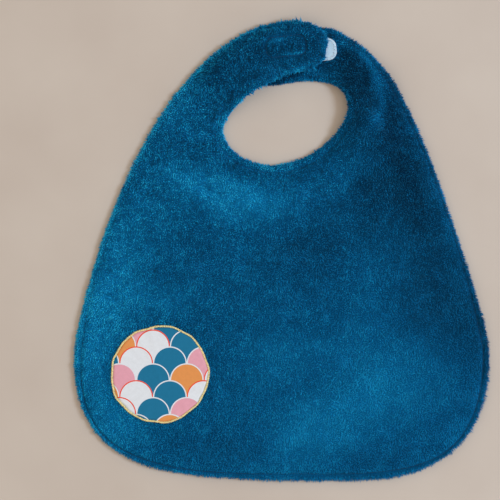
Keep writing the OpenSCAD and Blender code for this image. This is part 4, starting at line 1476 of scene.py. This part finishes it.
body = dict(
    front_cloth=cloth_piece("front_cloth", FRONT, SHOULDER_JOIN, LAST_STATION),
    back_cloth=cloth_piece("back_cloth", BACK, SHOULDER_JOIN, LAST_STATION),
    pile_left=pile_piece("front_pile_left", FRONT, SHOULDER_JOIN, CUT_1, **BADGE_PLACE),
    pile_low_left=pile_piece("front_pile_low_left", FRONT, CUT_1, CUT_2, **BADGE_PLACE),
    pile_low=pile_piece("front_pile_low", FRONT, CUT_2, CUT_3),
    pile_low_right=pile_piece("front_pile_low_right", FRONT, CUT_3, CUT_4),
    pile_right=pile_piece("front_pile_right", FRONT, CUT_4, BODY_END, tape_bare=1.0, **tape_place(*LOOP)),
    edge_pile=pile_piece("front_edge_pile", FRONT, SHOULDER_JOIN, BODY_END, **EDGE_PILE),
    back_edge_pile=pile_piece("back_edge_pile", BACK, SHOULDER_JOIN, BODY_END, **EDGE_PILE),
    back_left=pile_piece("back_pile_left", BACK, SHOULDER_JOIN, CUT_2, **BACK_PILE),
    back_right=pile_piece("back_pile_right", BACK, CUT_2, BODY_END, **BACK_PILE),
    topstitch=edge_stitches("edge_stitches", FRONT, SHOULDER_JOIN, LAST_STATION),
    bobbin=edge_stitches("edge_bobbin_stitches", BACK, SHOULDER_JOIN, LAST_STATION),
    loop_tape=tape_piece("loop_tape_woven", LOOP, LOOP_Z, LOOP_Z + LOOP_T - LOOPS_H),
    badge=badge_piece(),
    border=stitches("badge_border_satin", badge_ring(BADGE_Z + BORDER_RISE), yellow_thread, **SATIN),
    badge_bobbin=stitches("badge_bobbin_stitches", badge_ring(BACK_THREAD_Z), teal_thread, **SATIN_BACK),
)
body["loops"] = grow(
    "loop_tape_loops", TAPE_NAP, body["loop_tape"].data.copy(), material=white_nylon, **LOOPS)
body["loop_seam"] = tape_stitches(
    "loop_tape_stitches", LOOP, LOOP_Z + LOOP_T - LOOP_SEAM_SINK, white_thread)
body["loop_bobbin"] = tape_stitches("loop_tape_bobbin_stitches", LOOP, BACK_THREAD_Z, teal_thread)


def strap_part(name, first, last, on_front, on_back, at_edge):
    """The cloths, the pile and the edge stitches of the top strap between two stations."""
    return dict(
        front=cloth_piece(name + "_front_cloth", FRONT, first, last),
        back=cloth_piece(name + "_back_cloth", BACK, first, last),
        front_pile=pile_piece(name + "_front_pile", FRONT, first, last, **on_front),
        back_pile=pile_piece(name + "_back_pile", BACK, first, last, **on_back),
        edge_pile=pile_piece(name + "_edge_pile", FRONT, first, last, **at_edge),
        back_edge_pile=pile_piece(name + "_back_edge_pile", BACK, first, last, **at_edge),
        topstitch=edge_stitches(name + "_stitches", FRONT, first, last),
        bobbin=edge_stitches(name + "_bobbin_stitches", BACK, first, last),
    )


hook_place = tape_place(*HOOK)
root = strap_part("strap_root", ROOT_MIDDLE, SHOULDER_JOIN, {}, BACK_PILE, EDGE_PILE)
end = strap_part("strap_end", AT_TIP, ROOT_MIDDLE,
    dict(tape_seam=1.0, **hook_place), dict(tape_bare=1.0, **hook_place, **BACK_PILE), TIP_PILE)
fixed = dict(
    hook_tape=tape_piece("hook_tape_woven", HOOK, HOOK_Z + HOOKS_H, HOOK_Z + HOOK_T),
    hook_seam=tape_stitches("hook_tape_stitches", HOOK, STRAP_TOP - HOOK_SEAM_SINK, teal_thread),
    hook_bobbin=tape_stitches(
        "hook_tape_bobbin_stitches", HOOK, HOOK_Z + HOOK_BOBBIN_SEAT, white_thread),
)
fixed["hooks"] = grow(
    "hook_tape_hooks", TAPE_NAP, fixed["hook_tape"].data.copy(), material=white_nylon, **HOOKS)


def bend(piece):
    """Moves a piece of the strap's placement into its mesh."""
    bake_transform(piece)


for piece in body.values():
    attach(piece, "bib_body")
for piece in fixed.values():
    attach(piece, "strap_end")
for piece in root.values():
    bend(piece)
for piece in end.values():
    bend(piece)

# Which solid each piece stands for, and its finish.
STANDS_FOR = (
    (body["front_cloth"], "front_panel", "plush"),
    (body["back_cloth"], "back_panel", "plush"),
    (body["topstitch"], "edge_topstitch", "plush_thread"),
    (body["bobbin"], "edge_bobbin_thread", "plush_thread"),
    (body["loop_tape"], "loop_tape", "tape"),
    (body["loop_seam"], "loop_tape_stitching", "tape_thread"),
    (body["loop_bobbin"], "loop_tape_bobbin_thread", "plush_thread"),
    (body["badge"], "badge_cloth", "badge_cloth"),
    (body["border"], "badge_border_stitching", "border_thread"),
    (body["badge_bobbin"], "badge_bobbin_thread", "plush_thread"),
    (root["front"], "strap_root_front", "plush"),
    (root["back"], "strap_root_back", "plush"),
    (root["topstitch"], "strap_root_topstitch", "plush_thread"),
    (root["bobbin"], "strap_root_bobbin_thread", "plush_thread"),
    (end["front"], "strap_end_front", "plush"),
    (end["back"], "strap_end_back", "plush"),
    (end["topstitch"], "strap_end_topstitch", "plush_thread"),
    (end["bobbin"], "strap_end_bobbin_thread", "plush_thread"),
    (fixed["hook_tape"], "hook_tape", "tape"),
    (fixed["hook_seam"], "hook_tape_stitching", "plush_thread"),
    (fixed["hook_bobbin"], "hook_tape_bobbin_thread", "tape_thread"),
)
for piece, node, slot in STANDS_FOR:
    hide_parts(node)
